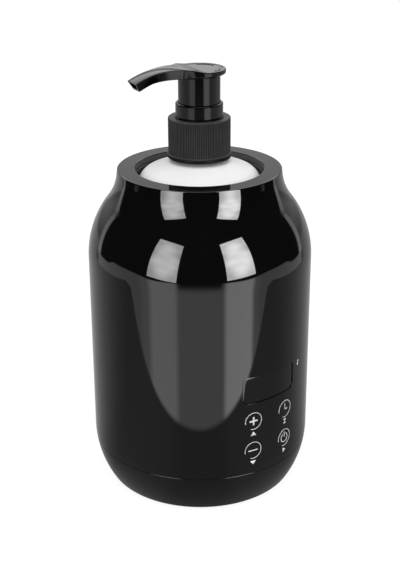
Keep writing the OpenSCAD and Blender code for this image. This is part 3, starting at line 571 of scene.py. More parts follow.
def buildBase():
    # the outline from the middle of the underside, round the edge, over the lip and back to the middle of
    # the floor, carried round the axis, with round pockets and posts let into its flat parts
    s, b = shell, base
    cx, top, inside = s["radius"] - s["baseCurve"], s["baseCurveTop"], s["baseCurve"] - s["wall"]
    ex, ez = b["edgeCentre"]
    edgeTurn = math.degrees(math.atan2(top - ez, ex - cx))
    seamTurn = math.degrees(math.asin((top - s["seam"] + s["seamRun"]) / s["baseCurve"]))
    seamR = cx + s["baseCurve"] * math.cos(math.radians(seamTurn))
    seamZ, hold = s["seam"] - s["seamGap"], s["seamHold"]
    lipR, lipT, lipH = b["lip"]
    joinR, lipZ = lipR - lipT, s["seam"] + lipH
    joinTurn = math.degrees(math.acos((joinR - cx) / inside))
    floorTurn = math.degrees(math.asin((top - b["floor"]) / inside))
    coarse = np.linspace(0, b["pocketRows"][0], 7, endpoint=False)
    under = np.concatenate([coarse, np.linspace(*b["pocketRows"], 23)])
    posts = np.linspace(*b["bossRows"], 15)
    inner = np.concatenate([posts, np.linspace(posts[-1], 0, 8)[1:]])
    profile = np.concatenate([
        np.stack([under, np.full_like(under, b["underside"])], -1),
        arcPoints(ex, ez, s["edgeRound"], -90, -edgeTurn, 9),
        arcPoints(cx, top, s["baseCurve"], -edgeTurn, -seamTurn, 22)[1:],
        roundCorners([(seamR, s["seam"] - s["seamRun"] - 0.01, 0), (seamR - hold, seamZ, s["seamEdge"]),
                      (lipR, seamZ, 0)], 5, hold)[1:],
        roundCorners([(lipR, s["seam"], 0), (lipR, lipZ, 0.3), (joinR, lipZ, 0.3), (joinR, s["seam"], 0)], 4)[1:-1],
        arcPoints(cx, top, inside, -joinTurn, -floorTurn, 10),
        np.stack([inner, np.full_like(inner, b["floor"])], -1)])
    cols = 360  # one for each degree
    a = np.radians(np.arange(cols) + b["firstAngle"])
    r, z = profile[:, 0:1], profile[:, 1:2]
    grid = GridShell(np.stack([r * np.cos(a), r * np.sin(a), z + 0 * a], -1), False)

    def pocket(degrees, halfCols, rows, ringR, way, loops):
        # a round pocket or post square to the plane: its loops are (radius, height), and a radius of 0 closes it
        col = (degrees - b["firstAngle"]) % cols
        ring, p, q = grid.block(*rows, col - halfCols, col + halfCols)
        start, t = grid.place(ring), math.radians(degrees)
        out, along = np.array([math.cos(t), math.sin(t)]), np.array([-math.sin(t), math.cos(t)])

        def circle(radius, height):
            # the edge of the block drawn as a circle, or as a point
            x, y = roundRect(p, q, radius, radius, radius) if radius else (0 * p, 0 * q)
            xy = ringR * out + x[:, None] * along + way * y[:, None] * out
            return np.concatenate([xy, np.full((len(x), 1), height)], 1)

        edge = circle(*loops[0])
        grid.add(ring, [start * (1 - k) + edge * k for k in (0.4, 0.75, 0.95)] + [circle(*k) for k in loops])

    rowsUnder, firstInner = (len(coarse), len(under) - 1), len(profile) - len(inner)
    rowsInner = (firstInner, firstInner + len(posts) - 1)
    u, (foot, seat), (well, half, deep), (post, mid, high) = [
        b[k] for k in ("underside", "footSeat", "screwWell", "boss")]
    for k in range(4):
        pocket(90 * k, b["footCols"], rowsUnder, b["footRing"], 1, [
            (foot + 0.1, u), (foot, u + 0.1), (foot, seat - 0.1), (foot - 0.2, seat), (foot * 0.5, seat), (0, seat)])
        pocket(45 + 90 * k, b["screwCols"], rowsUnder, b["screwRing"], 1, [
            (well + 0.2, u), (well, u + 0.2), (well, half), (well, deep), (well * 0.5, deep), (0, deep)])
        pocket(45 + 90 * k, b["screwCols"], rowsInner, b["screwRing"], -1, [
            (post, b["floor"]), (post, mid), (post, high), (post * 0.5, high), (0, high)])
    makePiece("base_cap_skin", [grid.result()], "warmer", baseGloss, ["base_cap"], sharp=32)


buildBase()

feet = {"radius": 5.0, "height": 2.0, "edge": 0.6, "seatEdge": 0.2, "ring": 35.45}


def buildFeet():
    # a disc with rounded edges, its outline turned round its axis, set at four places of a ring
    f = feet
    profile = roundCorners([(0, 0, 0), (f["radius"], 0, f["edge"]), (f["radius"], f["height"], f["seatEdge"]),
                            (0, f["height"], 0)], 6)
    p, faces = revolve(profile, 64, close=False)
    spots = np.radians(np.arange(4) * 90)
    shells = [(p + [f["ring"] * math.cos(t), f["ring"] * math.sin(t), 0], faces) for t in spots]
    makePiece("rubber_foot_set", shells, "warmer", footRubber, ["rubber_feet"])


buildFeet()
print("base and feet done")


# display window and printed keys

lens = {
    "half": (14.95, 6.55, 2.35), "flange": (17.1, 8.7, 4.5),  # half width, half height, corner
    "height": 64.0, "face": 51.65, "flangeFace": 49.4, "back": 48.0, "bevel": 0.3,
}


def buildLens():
    # loops of one rounded outline, from the middle of the face, over its bevel and flange, to the middle of the back
    w = lens
    p, q = squareEdge(72, 30)

    def outline(half, distance, share=1):
        # laid on a cylinder round the axis, drawn in to a share of its size
        x, z = roundRect(p, q, *half)
        return cylinderLoop(share * x, w["height"] + share * z, distance, -1)

    loops = [outline([h - w["bevel"] for h in w["half"]], w["face"], t) for t in (0, 0.2, 0.4, 0.6, 0.8, 0.93)]
    for k in np.linspace(0, np.pi / 2, 5):
        e = w["bevel"] * (1 - math.sin(k))
        loops.append(outline([h - e for h in w["half"]], w["face"] - w["bevel"] * (1 - math.cos(k))))
    loops += [outline(w["half"], w["flangeFace"]), outline(w["flange"], w["flangeFace"])]
    loops += [outline(w["flange"], w["back"], t) for t in (1, 0.66, 0.33, 0)]
    makePiece("display_window_lens", [solidGrid(np.stack(loops))], "warmer", windowTint,
              ["display_window"], sharp=32)


buildLens()

keys = {
    "columns": (-10.53, 10.53), "rows": (48.3, 33.1), "ring": (4.36, 4.06), "ringGap": (-108, 192),
    "plus": (4.2, 0.8), "minus": (5.0, 0.55), "blunt": 0.3, "hands": (3.0, 2.0, 0.4), "handsShift": (-0.15, 0.05),
    "power": (2.45, 2.02), "powerGap": (125, 415), "powerStick": (0, 1.7, 0.21, 1.5),
    "markDrop": 6.5, "marks": {  # corners of the small triangles under the keys
        "up": [((-1.5, -0.9), (1.5, -0.9), (0, 1.1))], "down": [((-1.5, 1.0), (1.5, 1.0), (0, -1.0))],
        "glass": [((-1.1, 1.2), (1.1, 1.2), (0, 0)), ((-1.1, -1.2), (1.1, -1.2), (0, 0))],
        "play": [((-0.9, 1.2), (-0.9, -1.2), (1.2, 0))]},
    "thermometer": (21.7, 68.1), "thermometerBars": (  # x, z, half width, half height
        (0, 0.5, 0.26, 0.95), (0, -0.75, 0.58, 0.58), (0.85, 0.95, 0.25, 0.1), (0.85, 0.35, 0.25, 0.1)),
    "skin": 0.035, "thickness": 0.07,
}


def arcStrip(outer, inner, start, end, count=64):
    # band between two radii, with round ends
    t = np.radians(np.linspace(start, end, count))
    mid, half = (outer + inner) / 2, (outer - inner) / 2
    band = [np.stack([rr * np.cos(t), rr * np.sin(t)], -1) for rr in (outer, mid, inner)]
    shapes = [np.stack(band)]
    for a, way in ((t[0], -1), (t[-1], 1)):
        b = a + way * np.linspace(0, np.pi, 12)
        cap = np.stack([np.cos(b), np.sin(b)], -1) * half + mid * np.array([math.cos(a), math.sin(a)])
        shapes.append(np.stack([cap, 0 * cap + mid * np.array([math.cos(a), math.sin(a)])]))
    return shapes


def bar(x, z, halfW, halfH, blunt=0.999):
    # a bar with rounded ends
    p, q = squareEdge(10, 10)
    edge = np.stack(roundRect(p, q, halfW, halfH, min(halfW, halfH) * blunt), -1)
    edge = np.concatenate([edge, edge[:1]])
    return [np.stack([edge + [x, z], 0.4 * edge + [x, z], 0 * edge + [x, z]])]


def wedge(corners):
    # a filled triangle
    a, b, c = [np.array(k, float) for k in corners]
    t = np.linspace(0, 1, 9)[:, None]
    return [np.stack([a * (1 - t) + b * t, (a * (1 - t) + b * t) * 0.5 + c * 0.5, 0 * t * a + c])]


def wrapPrint(shapes, degrees, z):
    # lays flat shapes on the housing: arc length becomes angle
    made = []
    radius = shell["radius"] + keys["skin"]
    for s in shapes:
        a = math.radians(degrees) + s[..., 0] / shell["radius"]
        p = around(radius, z + s[..., 1], a).reshape(-1, 3)
        made.append(faceAlong(p, gridFaces(*s.shape[:2]), lambda c: c * [1, 1, 0]))
    return made


def buildPrint():
    # four rings with their signs and the small marks under them, and a thermometer beside the window
    k = keys
    left, right = k["columns"]
    high, low = k["rows"]
    ring = arcStrip(*k["ring"], *k["ringGap"], 72)
    arm, stroke = k["plus"]
    plus = bar(0, 0, arm / 2, stroke / 2, k["blunt"])
    for way in (1, -1):
        plus += bar(0, way * (arm + stroke) / 4, stroke / 2, (arm - stroke) / 4, k["blunt"])
    span, thin = k["minus"]
    minus = bar(0, 0, span / 2, thin / 2, k["blunt"])
    tall, wide, hand = k["hands"]
    x, z = k["handsShift"]
    clock = bar(x, tall / 2 - hand / 2, hand / 2, tall / 2) + bar(x + wide / 2, -hand / 2 + z, wide / 2, hand / 2)
    power = arcStrip(*k["power"], *k["powerGap"], 48) + bar(*k["powerStick"])
    mark = {name: [wedge([(x, z - k["markDrop"]) for x, z in c])[0] for c in corners]
            for name, corners in k["marks"].items()}
    gauge = [bar(*place)[0] for place in k["thermometerBars"]]
    shells = []
    for shapes, degrees, height in (
            (ring + plus + mark["up"], left, high), (ring + minus + mark["down"], left, low),
            (ring + clock + mark["glass"], right, high), (ring + power + mark["play"], right, low),
            (gauge, *k["thermometer"])):
        shells += wrapPrint(shapes, degrees, height)
    makePiece("key_print", shells, "warmer", printInk, solid=k["thickness"])


buildPrint()
print("window and key symbols done")


# well and bottle

well = {"inner": 28.9, "outer": 29.9, "top": 151.4, "floor": 26.5, "bottom": 25.5, "flange": (33.9, 149.5, 150.5)}


def buildWell():
    # a cup with a flange under its edge: the outline turned round the axis
    w = well
    fr, f0, f1 = w["flange"]
    profile = roundCorners([
        (0, w["bottom"], 0), (w["outer"], w["bottom"], 1.5), (w["outer"], f0, 0.2), (fr, f0, 0.2), (fr, f1, 0.2),
        (w["outer"], f1, 0.2), (w["outer"], w["top"], 0.3), (w["inner"], w["top"], 0.35),
        (w["inner"], w["floor"], 1.0), (0, w["floor"], 0)], 6)
    makePiece("heating_well_cup", [revolve(profile, 192, close=False)], "warmer", wellSatin,
              ["heating_well"], sharp=45)


buildWell()

flask = {
    "radius": 28.2, "base": 26.6, "wall": 1.2, "heel": 4.5, "pushUp": (18.0, 1.5), "round": 8.0,
    "roundCentre": (20.2, 146.59), "slope": 22.0, "neck": (10.85, 159.0, 172.2), "bore": 9.0,
    "thread": (3.175, 1.25, 165.43, 0.85), "ridge": (0.4, 0.75, 0.3),  # pitch, turns, start, height; sunk, foot, crest
}


def buildBottle():
    # the outline of the wall, outside and inside, turned round the axis; the thread is a section carried up a helix
    b = flask
    r, z0, t, heel, bore = [b[k] for k in ("radius", "base", "wall", "heel", "bore")]
    cx, cz = b["roundCentre"]
    neck, root, top = b["neck"]
    push, lift = b["pushUp"]
    turn = 90 - b["slope"]
    ix, iz = arcPoints(cx, cz, b["round"] - t, turn, turn, 1)[0]
    neckCurve = roundCorners([
        (*arcPoints(cx, cz, b["round"], turn, turn, 1)[0], 0), (neck, root, 1.6), (neck, top, 0.5), (bore, top, 0.4),
        (bore, iz + (ix - bore) * math.tan(math.radians(b["slope"])), 1.0), (ix, iz, 0)], 8)
    profile = np.concatenate([
        roundCorners([(0, z0 + lift, 0), (push, z0 + lift, 0.6), (push + lift, z0, 0.5), (r - heel, z0, 0)], 5)[:-1],
        arcPoints(r - heel, z0 + heel, heel, -90, 0, 12),
        np.stack([np.full(8, r), np.linspace(z0 + heel, cz, 10)[1:-1]], -1),
        arcPoints(cx, cz, b["round"], 0, turn, 20)[:-1],
        neckCurve,
        arcPoints(cx, cz, b["round"] - t, turn, 0, 12)[1:],
        arcPoints(r - heel, z0 + heel, heel - t, 0, -90, 8),
        [[push + lift + 0.5, z0 + t], [push, z0 + lift + t], [0, z0 + lift + t]]])
    pitch, turns, low, high = b["thread"]
    sunk, foot, crest = b["ridge"]
    a = np.linspace(0, 2 * np.pi * turns, 120)
    fade = np.minimum(1, np.minimum(a, a[-1] - a) / 0.5)[:, None]  # the thread runs out at both ends
    section = np.array([[-sunk, -foot], [high, -crest], [high, crest], [-sunk, foot]])
    rr = neck + np.where(section[:, 0] > 0, section[:, 0] * fade, section[:, 0])
    zz = low + pitch * a[:, None] / (2 * np.pi) + section[:, 1]
    ridge = np.stack([rr * np.cos(a)[:, None], rr * np.sin(a)[:, None], zz], -1)
    ridge = np.concatenate([0 * ridge[:1] + ridge[0].mean(0), ridge, 0 * ridge[:1] + ridge[-1].mean(0)])
    makePiece("bottle_white", [revolve(profile, 192, close=False), solidGrid(ridge)], "bottle", bottleSatin,
              ["bottle"], sharp=45)


buildBottle()
print("well and bottle done")


# pump: closure, lock ring, spring

cap = {
    "radius": 14.1, "lip": 14.5, "bottom": 159.65, "lipTop": 161.65, "top": 177.85, "inner": 12.3, "roof": 176.45,
    "hole": 10.45, "ribs": 108, "ribDepth": 0.4, "perRib": 8,
    "ribRows": (0.25, 0.5, -1.2, -0.8),  # above the lip, or below the top
}


def buildClosure():
    # above the lip the radius is the lesser of the outline and r - depth * (1 - ridge): narrow ridges side by side
    c = cap
    r, inner, hole, lipR = [c[k] for k in ("radius", "inner", "hole", "lip")]
    bottom, lip, roof, top = [c[k] for k in ("bottom", "lipTop", "roof", "top")]
    outline = roundCorners([
        (inner, roof, 0), (inner, bottom, 0.25), (lipR, bottom, 0.35), (lipR, lip - 0.4, 0.25), (r - 0.05, lip, 0.12),
        (r, top, 0.5), (hole, top, 0.3), (hole, roof, 0.1), (inner, roof, 0)], 5)[:-1]
    start = np.flatnonzero((outline[:, 1] < lip + 1) & (outline[:, 0] > r - 0.2))[-1]  # foot of the ribbed wall
    extra = np.stack([np.full(4, r), [(lip if k > 0 else top) + k for k in c["ribRows"]]], -1)
    outline = np.concatenate([outline[:start + 1], extra, outline[start + 1:]])
    count = c["ribs"] * c["perRib"]
    a = np.linspace(0, 2 * np.pi, count, endpoint=False)
    ridge = 0.5 + 0.5 * np.cos(c["ribs"] * a)
    smooth, z = outline[:, 0:1], outline[:, 1:2]
    ribbed = r - c["ribDepth"] * (1 - ridge) * smoothStep(lip + 0.15, lip + 0.45, z)
    rr = np.where(z > lip + 0.1, np.minimum(smooth, ribbed), smooth)
    makePiece("closure_ribbed", [solidGrid(around(rr, z, a), True)], "closure", closureSatin,
              ["closure"], sharp=50)


buildClosure()

ringLock = {
    "guide": 3.3, "plug": (5.98, 172.4), "flange": (11.8, 174.0, 176.35), "tube": 10.3, "bead": (11.02, 178.0, 0.8),
    "radius": 10.72, "top": 184.65, "bore": 9.6, "floor": 175.2,
}


def buildLockRing():
    # guide, plug, flange, bead and collar in one outline, turned round the axis
    k = ringLock
    plugR, plugZ = k["plug"]
    fr, f0, f1 = k["flange"]
    beadR, beadZ, beadH = k["bead"]
    profile = roundCorners([
        (k["guide"], k["floor"], 0), (k["guide"], plugZ, 0.2), (plugR, plugZ, 0.2), (plugR, f0, 0.1), (fr, f0, 0.2),
        (fr, f1, 0.2), (k["tube"], f1, 0.1), (k["tube"], beadZ, 0.05), (beadR, beadZ, 0.2),
        (beadR, beadZ + beadH * 0.5, 0.2), (k["radius"], beadZ + beadH, 0.3), (k["radius"], k["top"], 0.7),
        (k["bore"], k["top"], 0.25), (k["bore"], k["floor"], 0.3), (k["guide"], k["floor"], 0)], 6)[:-1]
    makePiece("lock_ring_gloss", [revolve(profile, 160)], "pump_body", pumpGloss, ["lock_ring"], sharp=45)


buildLockRing()

coilSpring = {"radius": 4.9, "wire": 0.45, "turns": 6, "bottom": 146.85, "top": 165.35, "stroke": 8.5}


def buildSpring():
    # a round wire along a helix, whose rise is flatter in its first and last coils
    c = coilSpring
    a = np.linspace(0, 2 * np.pi * c["turns"], c["turns"] * 40)
    part = a / a[-1]
    rise = smoothStep(0.06, 0.94, part) * 0.25 + 0.75 * np.clip((part - 0.08) / 0.84, 0, 1)
    tall = c["top"] - c["bottom"]
    z = c["bottom"] + c["wire"] + rise * (tall - 2 * c["wire"])
    path = np.stack([c["radius"] * np.cos(a), c["radius"] * np.sin(a), z], -1)
    piece = makePiece("return_spring_wire", [sweepTube(path, c["wire"], 10)], "pump_body", springSteel,
                      ["return_spring"])
    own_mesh(piece)


buildSpring()


# pump head: round plate drawn out into an arched spout with a hollow tip

head = {
    "turn": 170.0, "top": 199.65, "plate": 11.9, "plateEdge": 2.0, "under": 3.5, "underSlope": 2.2, "dish": 0.25,
    "reach": 32.7, "drop": 2.7, "rise": 1.65, "crest": 14.5, "root": 9.5, "depth": 3.1, "tipHeight": 3.2,
    "tipBack": 2.1, "rootHalf": 6.7, "tipHalf": 4.35, "crown": 0.25, "bevel": 0.4, "lowEdge": 0.3, "lean": 0.33,
    # where along the spout each change happens
    "join": 8.0, "taperSpan": (7, 24), "rootSpan": (2, 7), "sideSpan": (6.5, 11), "crownSpan": (6, 14),
    "bevelSpan": (8, 16), "dishSpan": (2, 9), "dishRim": (0.83, 0.91), "slantFrom": 22,
    "skirt": (9.45, 8.05, 183.9, 0.3), "socket": (4.6, 3.02, 186.65, 0.2), "rooted": -2.6,
    "channel": (0.78, 0.58, 9.0, 0.4),  # share of the tip's width, of its height, depth and how far it sinks
    "arrow": {"middle": 9.2, "half": 0.35, "tipHalf": 1.1, "from": 18, "neck": 58, "to": 70, "height": 0.12,
              "thick": 0.2},
}


def archTop(x):
    # an arc through crest and tip, brought down to the plate by an S over the root
    h = head
    span, fall = h["reach"] - h["crest"], h["drop"] + h["rise"]
    radius = (span * span + fall * fall) / (2 * fall)

    def arch(v):
        # the upper part of a circle with its top at the crest
        return h["rise"] - radius + np.sqrt(radius ** 2 - (v - h["crest"]) ** 2)

    s = np.clip(x / h["root"], 0, 1)
    return np.where(x >= h["root"], arch(np.maximum(x, h["root"])), arch(h["root"]) * s * s * (3 - 2 * s))


def archLow(x):
    # level up to the crest, then an arc down to the lower edge of the tip
    h = head
    span, fall = h["reach"] - h["crest"] - h["tipBack"], h["drop"] + h["tipHeight"] - h["depth"]
    radius = (span * span + fall * fall) / (2 * fall)
    v = np.maximum(x - h["crest"], 0)
    return -h["depth"] - radius + np.sqrt(radius ** 2 - v * v)


def headOutline():
    # half width over x: the plate's circle and the spout's taper joined by a soft maximum
    h = head
    t = np.linspace(np.pi, math.acos(h["join"] / h["plate"]), 60)
    x = np.concatenate([h["plate"] * np.cos(t), np.linspace(h["join"], h["reach"], 64)[1:]])
    circle = np.sqrt(np.maximum(h["plate"] ** 2 - x * x, 0))
    taper = h["tipHalf"] + (h["rootHalf"] - h["tipHalf"]) * (1 - smoothStep(*h["taperSpan"], x))
    return x, (circle ** 9 + (taper * smoothStep(*h["rootSpan"], x)) ** 9) ** (1 / 9)


def buildHead():
    # for each point of the outline a section runs from the middle line of the top, over a rolled edge,
    # down the side and back under to the middle line of the underside
    h = head
    x, y = headOutline()
    ox = np.concatenate([x[::-1], x[1:]])
    oy = np.concatenate([y[::-1], -y[1:]])
    edge = np.stack([ox, oy], -1)
    along = np.gradient(edge, axis=0)
    along /= np.linalg.norm(along, axis=1)[:, None]
    normal = np.stack([along[:, 1], -along[:, 0]], -1)
    spine = np.stack([np.clip(ox, 0, 99), 0 * oy], -1)
    normal *= np.sign(np.einsum("ij,ij->i", normal, edge - spine) + 1e-9)[:, None]
    middle = np.stack([np.where(ox > -2, ox, -2 + (ox + 2) * 0.25), 0 * oy], -1)
    b = h["bevel"] * (1 - 0.35 * smoothStep(*h["bevelSpan"], ox))
    half = np.maximum(np.abs(oy), 1e-6)
    spoutShare = smoothStep(*h["sideSpan"], ox)

    def topHeight(p):
        # the arch, lowered towards the sides of the spout
        across = np.clip(np.abs(p[:, 1]) / half, 0, 1)
        return archTop(p[:, 0]) - h["crown"] * smoothStep(*h["crownSpan"], p[:, 0]) * across ** 2

    bottom = -h["plateEdge"] * (1 - spoutShare) + archLow(ox) * spoutShare
    inset = edge - normal * b[:, None]
    loops = []
    sunk = h["dish"] * (1 - smoothStep(*h["dishSpan"], ox))  # the plate is dished, with a raised rim round its rear
    for t in (0, 0.25, 0.5, 0.7, 0.8, 0.83, 0.85, 0.87, 0.89, 0.91, 0.93, 0.97, 1.0):
        p = middle * (1 - t) + inset * t
        loops.append(np.column_stack([p, topHeight(p) - sunk * (1 - smoothStep(*h["dishRim"], t))]))
    rim = topHeight(inset)
    for k in np.linspace(0, np.pi / 2, 6)[1:]:
        p = inset + normal * (b * math.sin(k))[:, None]
        loops.append(np.column_stack([p, rim - b * (1 - math.cos(k))]))
    sideTop, low = rim - b, h["lowEdge"]
    foot = edge - normal * (h["lean"] * (sideTop - bottom) * spoutShare)[:, None]  # the spout's sides lean in downwards
    for t in (0.05, 0.5, 0.95, 1.0):
        loops.append(np.column_stack([edge * (1 - t) + foot * t, sideTop * (1 - t) + (bottom + low) * t]))
    for k in np.linspace(0, np.pi / 2, 4)[1:]:
        p = foot - normal * (low * (1 - math.cos(k)))
        loops.append(np.column_stack([p, bottom + low * (1 - math.sin(k))]))
    flatIn = foot - normal * low
    for t in (0.06, 0.3, 0.6, 1.0):
        p = flatIn * (1 - t) + middle * t
        deep = np.clip(np.linalg.norm(p - flatIn, axis=1) / h["underSlope"], 0, 1)
        loops.append(np.column_stack([p, bottom - deep * (h["under"] - h["plateEdge"]) * (1 - spoutShare)]))
    grid = np.stack(loops, 1)
    # the tip is cut on a slant: points lower down stand further back
    down = np.clip((sideTop[:, None] - grid[..., 2]) / (sideTop - bottom)[:, None], 0, 1)
    grid[..., 0] -= h["tipBack"] * down * smoothStep(h["slantFrom"], h["reach"], ox)[:, None]
    sections, per = grid.shape[:2]
    points, faces = [grid.reshape(-1, 3)], [gridFaces(sections, per)]
    # mouth: the tip's outline, stepped in by the wall, carried back along the spout and closed
    ring = np.concatenate([np.arange(per), (sections - 1) * per + np.arange(per - 2, 0, -1)])
    mouth = points[0][ring]
    centre = (mouth.max(0) + mouth.min(0)) / 2
    sy, sz, back, sink = h["channel"]
    inner = mouth.copy()
    inner[:, 1] = centre[1] + (mouth[:, 1] - centre[1]) * sy
    lift = (mouth[:, 2] - centre[2]) * (sz - 1)
    inner[:, 2] += lift
    inner[:, 0] += lift * h["tipBack"] / h["tipHeight"]
    far, tip = archTop(np.array([h["reach"] - back, h["reach"]]))
    deepIn = inner + [-back, 0, far - tip - sink]
    shut = 0 * deepIn + deepIn.mean(0)
    count = len(points[0])
    for loop in (inner * 0.94 + mouth * 0.06, inner, inner + (deepIn - inner) * 0.06, deepIn, shut):
        new = count + np.arange(len(loop))
        faces.append(np.stack([ring, new, np.roll(new, -1), np.roll(ring, -1)], -1))
        points.append(loop)
        ring, count = new, count + len(loop)
    points, faces = np.concatenate(points), np.concatenate(faces)
    a = math.radians(h["turn"])
    turn = np.array([[math.cos(a), math.sin(a), 0], [-math.sin(a), math.cos(a), 0], [0, 0, 1]])

    def sleeve(outR, inR, end, edge, steps, cols):
        # a tube that hangs from inside the plate
        z, root = end - h["top"], h["rooted"]
        corners = [(inR, root, 0), (inR, z, edge), (outR, z, edge), (outR, root, 0), (inR, root, 0)]
        return revolve(roundCorners(corners, steps)[:-1], cols)

    parts = ((points, outward(points, faces)), sleeve(*h["skirt"], 6, 128), sleeve(*h["socket"], 4, 64))
    shells = [(p @ turn + [0, 0, h["top"]], f) for p, f in parts]
    makePiece("pump_head_gloss", shells, "head", pumpGloss, ["pump_head"], sharp=40)
    # two curved arrows along the rear edge of the plate: a band between two radii and a triangle
    mark, marks = h["arrow"], []
    mid, half, tipHalf = mark["middle"], mark["half"], mark["tipHalf"]
    for way in (1, -1):
        t = np.radians(180 + way * np.linspace(mark["from"], mark["neck"], 20))
        strip = np.stack([np.stack([rr * np.cos(t), rr * np.sin(t)], -1) for rr in (mid + half, mid - half)])
        corners = ((mid + tipHalf, mark["neck"]), (mid - tipHalf, mark["neck"]), (mid, mark["to"]))
        tip = wedge([arcPoints(0, 0, rr, 180 + way * d, 180 + way * d, 1)[0] for rr, d in corners])[0]
        for s in (strip, tip):
            p = np.concatenate([s, np.full((*s.shape[:2], 1), mark["height"] - h["dish"])], -1).reshape(-1, 3)
            p, f = faceAlong(p, gridFaces(*s.shape[:2]), lambda c: 0 * c + [0, 0, 1])
            marks.append((p @ turn + [0, 0, h["top"]], f))
    makePiece("turn_arrows", marks, "head", pumpGloss, solid=mark["thick"])


buildHead()
print("pump done")


# finishes of the CAD nodes that stay

cadFinish = {
    "control_board": patterned("board_green", (0.012, 0.09, 0.04), (0.02, 0.15, 0.065), 0.35, "cells", 260,
                               0.05, 0.25, 0.05),
    "display_module": mouldedPlastic("display_black", (0.01, 0.01, 0.012), 0.2),
    "touch_pads": patterned("foam_grey", (0.11, 0.11, 0.12), (0.06, 0.06, 0.065), 0.85, "cells", 1600, 0.1, 0.5, 0.5),
    "microcontroller": mouldedPlastic("chip_black", (0.014, 0.014, 0.015), 0.55, bump=0.2, bumpScale=4000),
    "heater_switch": mouldedPlastic("switch_black", (0.016, 0.016, 0.017), 0.5, bump=0.2, bumpScale=4000),
    "filter_capacitor": mouldedPlastic("capacitor_sleeve", (0.03, 0.04, 0.13), 0.3, mottle=200),
    "wire_connectors": mouldedPlastic("connector_ivory", (0.72, 0.68, 0.56), 0.45, spread=0.06, mottle=150),
    "board_screws": spunMetal("screw_steel", (0.5, 0.5, 0.51), 0.32),
    "well_seal": mouldedPlastic("seal_silicone", (0.08, 0.08, 0.085), 0.6, mottle=200, bump=0.1, bumpScale=900),
    "well_support": mouldedPlastic("support_ivory", (0.55, 0.54, 0.49), 0.5, spread=0.06, bump=0.1, bumpScale=1000),
    "film_heater": patterned("film_amber", (0.48, 0.17, 0.02), (0.62, 0.42, 0.2), 0.25, "wave", 90, 0.35, 0.45, 0.1),
    "insulation_sleeve": patterned("felt_white", (0.72, 0.72, 0.69), (0.55, 0.55, 0.52), 0.95, "fibres", 1400,
                                   0.35, 0.65, 0.6),
    "temperature_sensor": mouldedPlastic("sensor_epoxy", (0.02, 0.02, 0.02), 0.4, mottle=700),
    "thermal_fuse": patterned("fuse_white", (0.75, 0.72, 0.64), (0.6, 0.57, 0.5), 0.5, "fibres", 900),
    "power_inlet": mouldedPlastic("inlet_black", (0.03, 0.03, 0.032), 0.5, mottle=250, bump=0.1, bumpScale=1500),
    "inlet_pin": spunMetal("pin_brass", (0.78, 0.6, 0.28), 0.22, (4000, 300, 4000)),
    "inlet_nut": spunMetal("nut_nickel", (0.62, 0.61, 0.57), 0.28, (300, 5000, 300)),
    "power_leads": mouldedPlastic("lead_red", (0.42, 0.03, 0.025), 0.45, mottle=300),
    "heater_leads": mouldedPlastic("lead_white", (0.68, 0.68, 0.66), 0.5, spread=0.05, mottle=300),
    "sensor_leads": mouldedPlastic("lead_black", (0.02, 0.02, 0.02), 0.5, mottle=300),
    "neck_gasket": patterned("gasket_white", (0.66, 0.66, 0.63), (0.56, 0.56, 0.53), 0.8, "cells", 1800, 0.1, 0.5, 0.3),
    "pump_housing": mouldedPlastic("pump_natural", (0.74, 0.74, 0.71), 0.4, spread=0.04, mottle=120),
    "check_ball": spunMetal("ball_steel", (0.62, 0.63, 0.65), 0.12, (500, 500, 500), 0.06),
}
cadFinish["base_screws"] = cadFinish["board_screws"]
for name in ("valve_cage", "dip_tube", "piston", "pump_stem"):
    cadFinish[name] = cadFinish["pump_housing"]
for name, material in cadFinish.items():
    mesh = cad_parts[name].data
    mesh.materials.clear()
    mesh.materials.append(material)
print("%d CAD nodes given their finish" % len(cadFinish))


# camera, lamps, floor and room

view = {
    "azimuth": -38.1, "place": (-0.3110, -0.3966, 0.3058), "pitch": 22.585, "roll": -0.257, "lens": 72.63, "sensor": 36,
}


def placed(place, *turns):
    # a place and the turns about named axes, in degrees, the last one done first
    made = Matrix.Translation(place)
    for degrees, axis in turns:
        made = made @ Matrix.Rotation(math.radians(degrees), 4, axis)
    return made


def bearing(degrees):
    # unit vector on the floor, counted from the camera's side of the object
    a = math.radians(view["azimuth"] + degrees)
    return np.array([math.sin(a), -math.cos(a), 0])


camera = bpy.data.objects.new("camera", bpy.data.cameras.new("camera"))
camera.data.lens, camera.data.sensor_width = view["lens"], view["sensor"]
camera.matrix_world = placed(view["place"], (view["azimuth"], "Z"), (90 - view["pitch"], "X"), (view["roll"], "Z"))
scene.collection.objects.link(camera)
scene.camera = camera
scene.view_settings.view_transform = "Standard"

lamps = {
    "boxes": (  # bearing, width, height, middle, roll, brightness as light, and what reflections add to it
        (-35.5, 0.634, 1.02, 0.465, -5.5, 0.8, 8.0), (39.0, 0.615, 1.01, 0.49, 4.0, 1.0, 13.6)),
    "boxDistance": 1.2, "shineNearer": 0.02, "cloth": (0.56, 1.45), "clothMiddle": (0.5, 0.45, 0.3),
    "folds": (0.6, (1.0, 3.2, 1.0), 0.4),  # slant, scale and share in the cloth's tone
    "shineOn": ("outer_shell_skin", "base_cap_skin", "display_window_lens", "key_print", "bottle_white"),
    "topSize": 2.2, "topDistance": 2.6, "topTilt": 24.0, "topAim": 0.1, "topBright": 3.0,
}


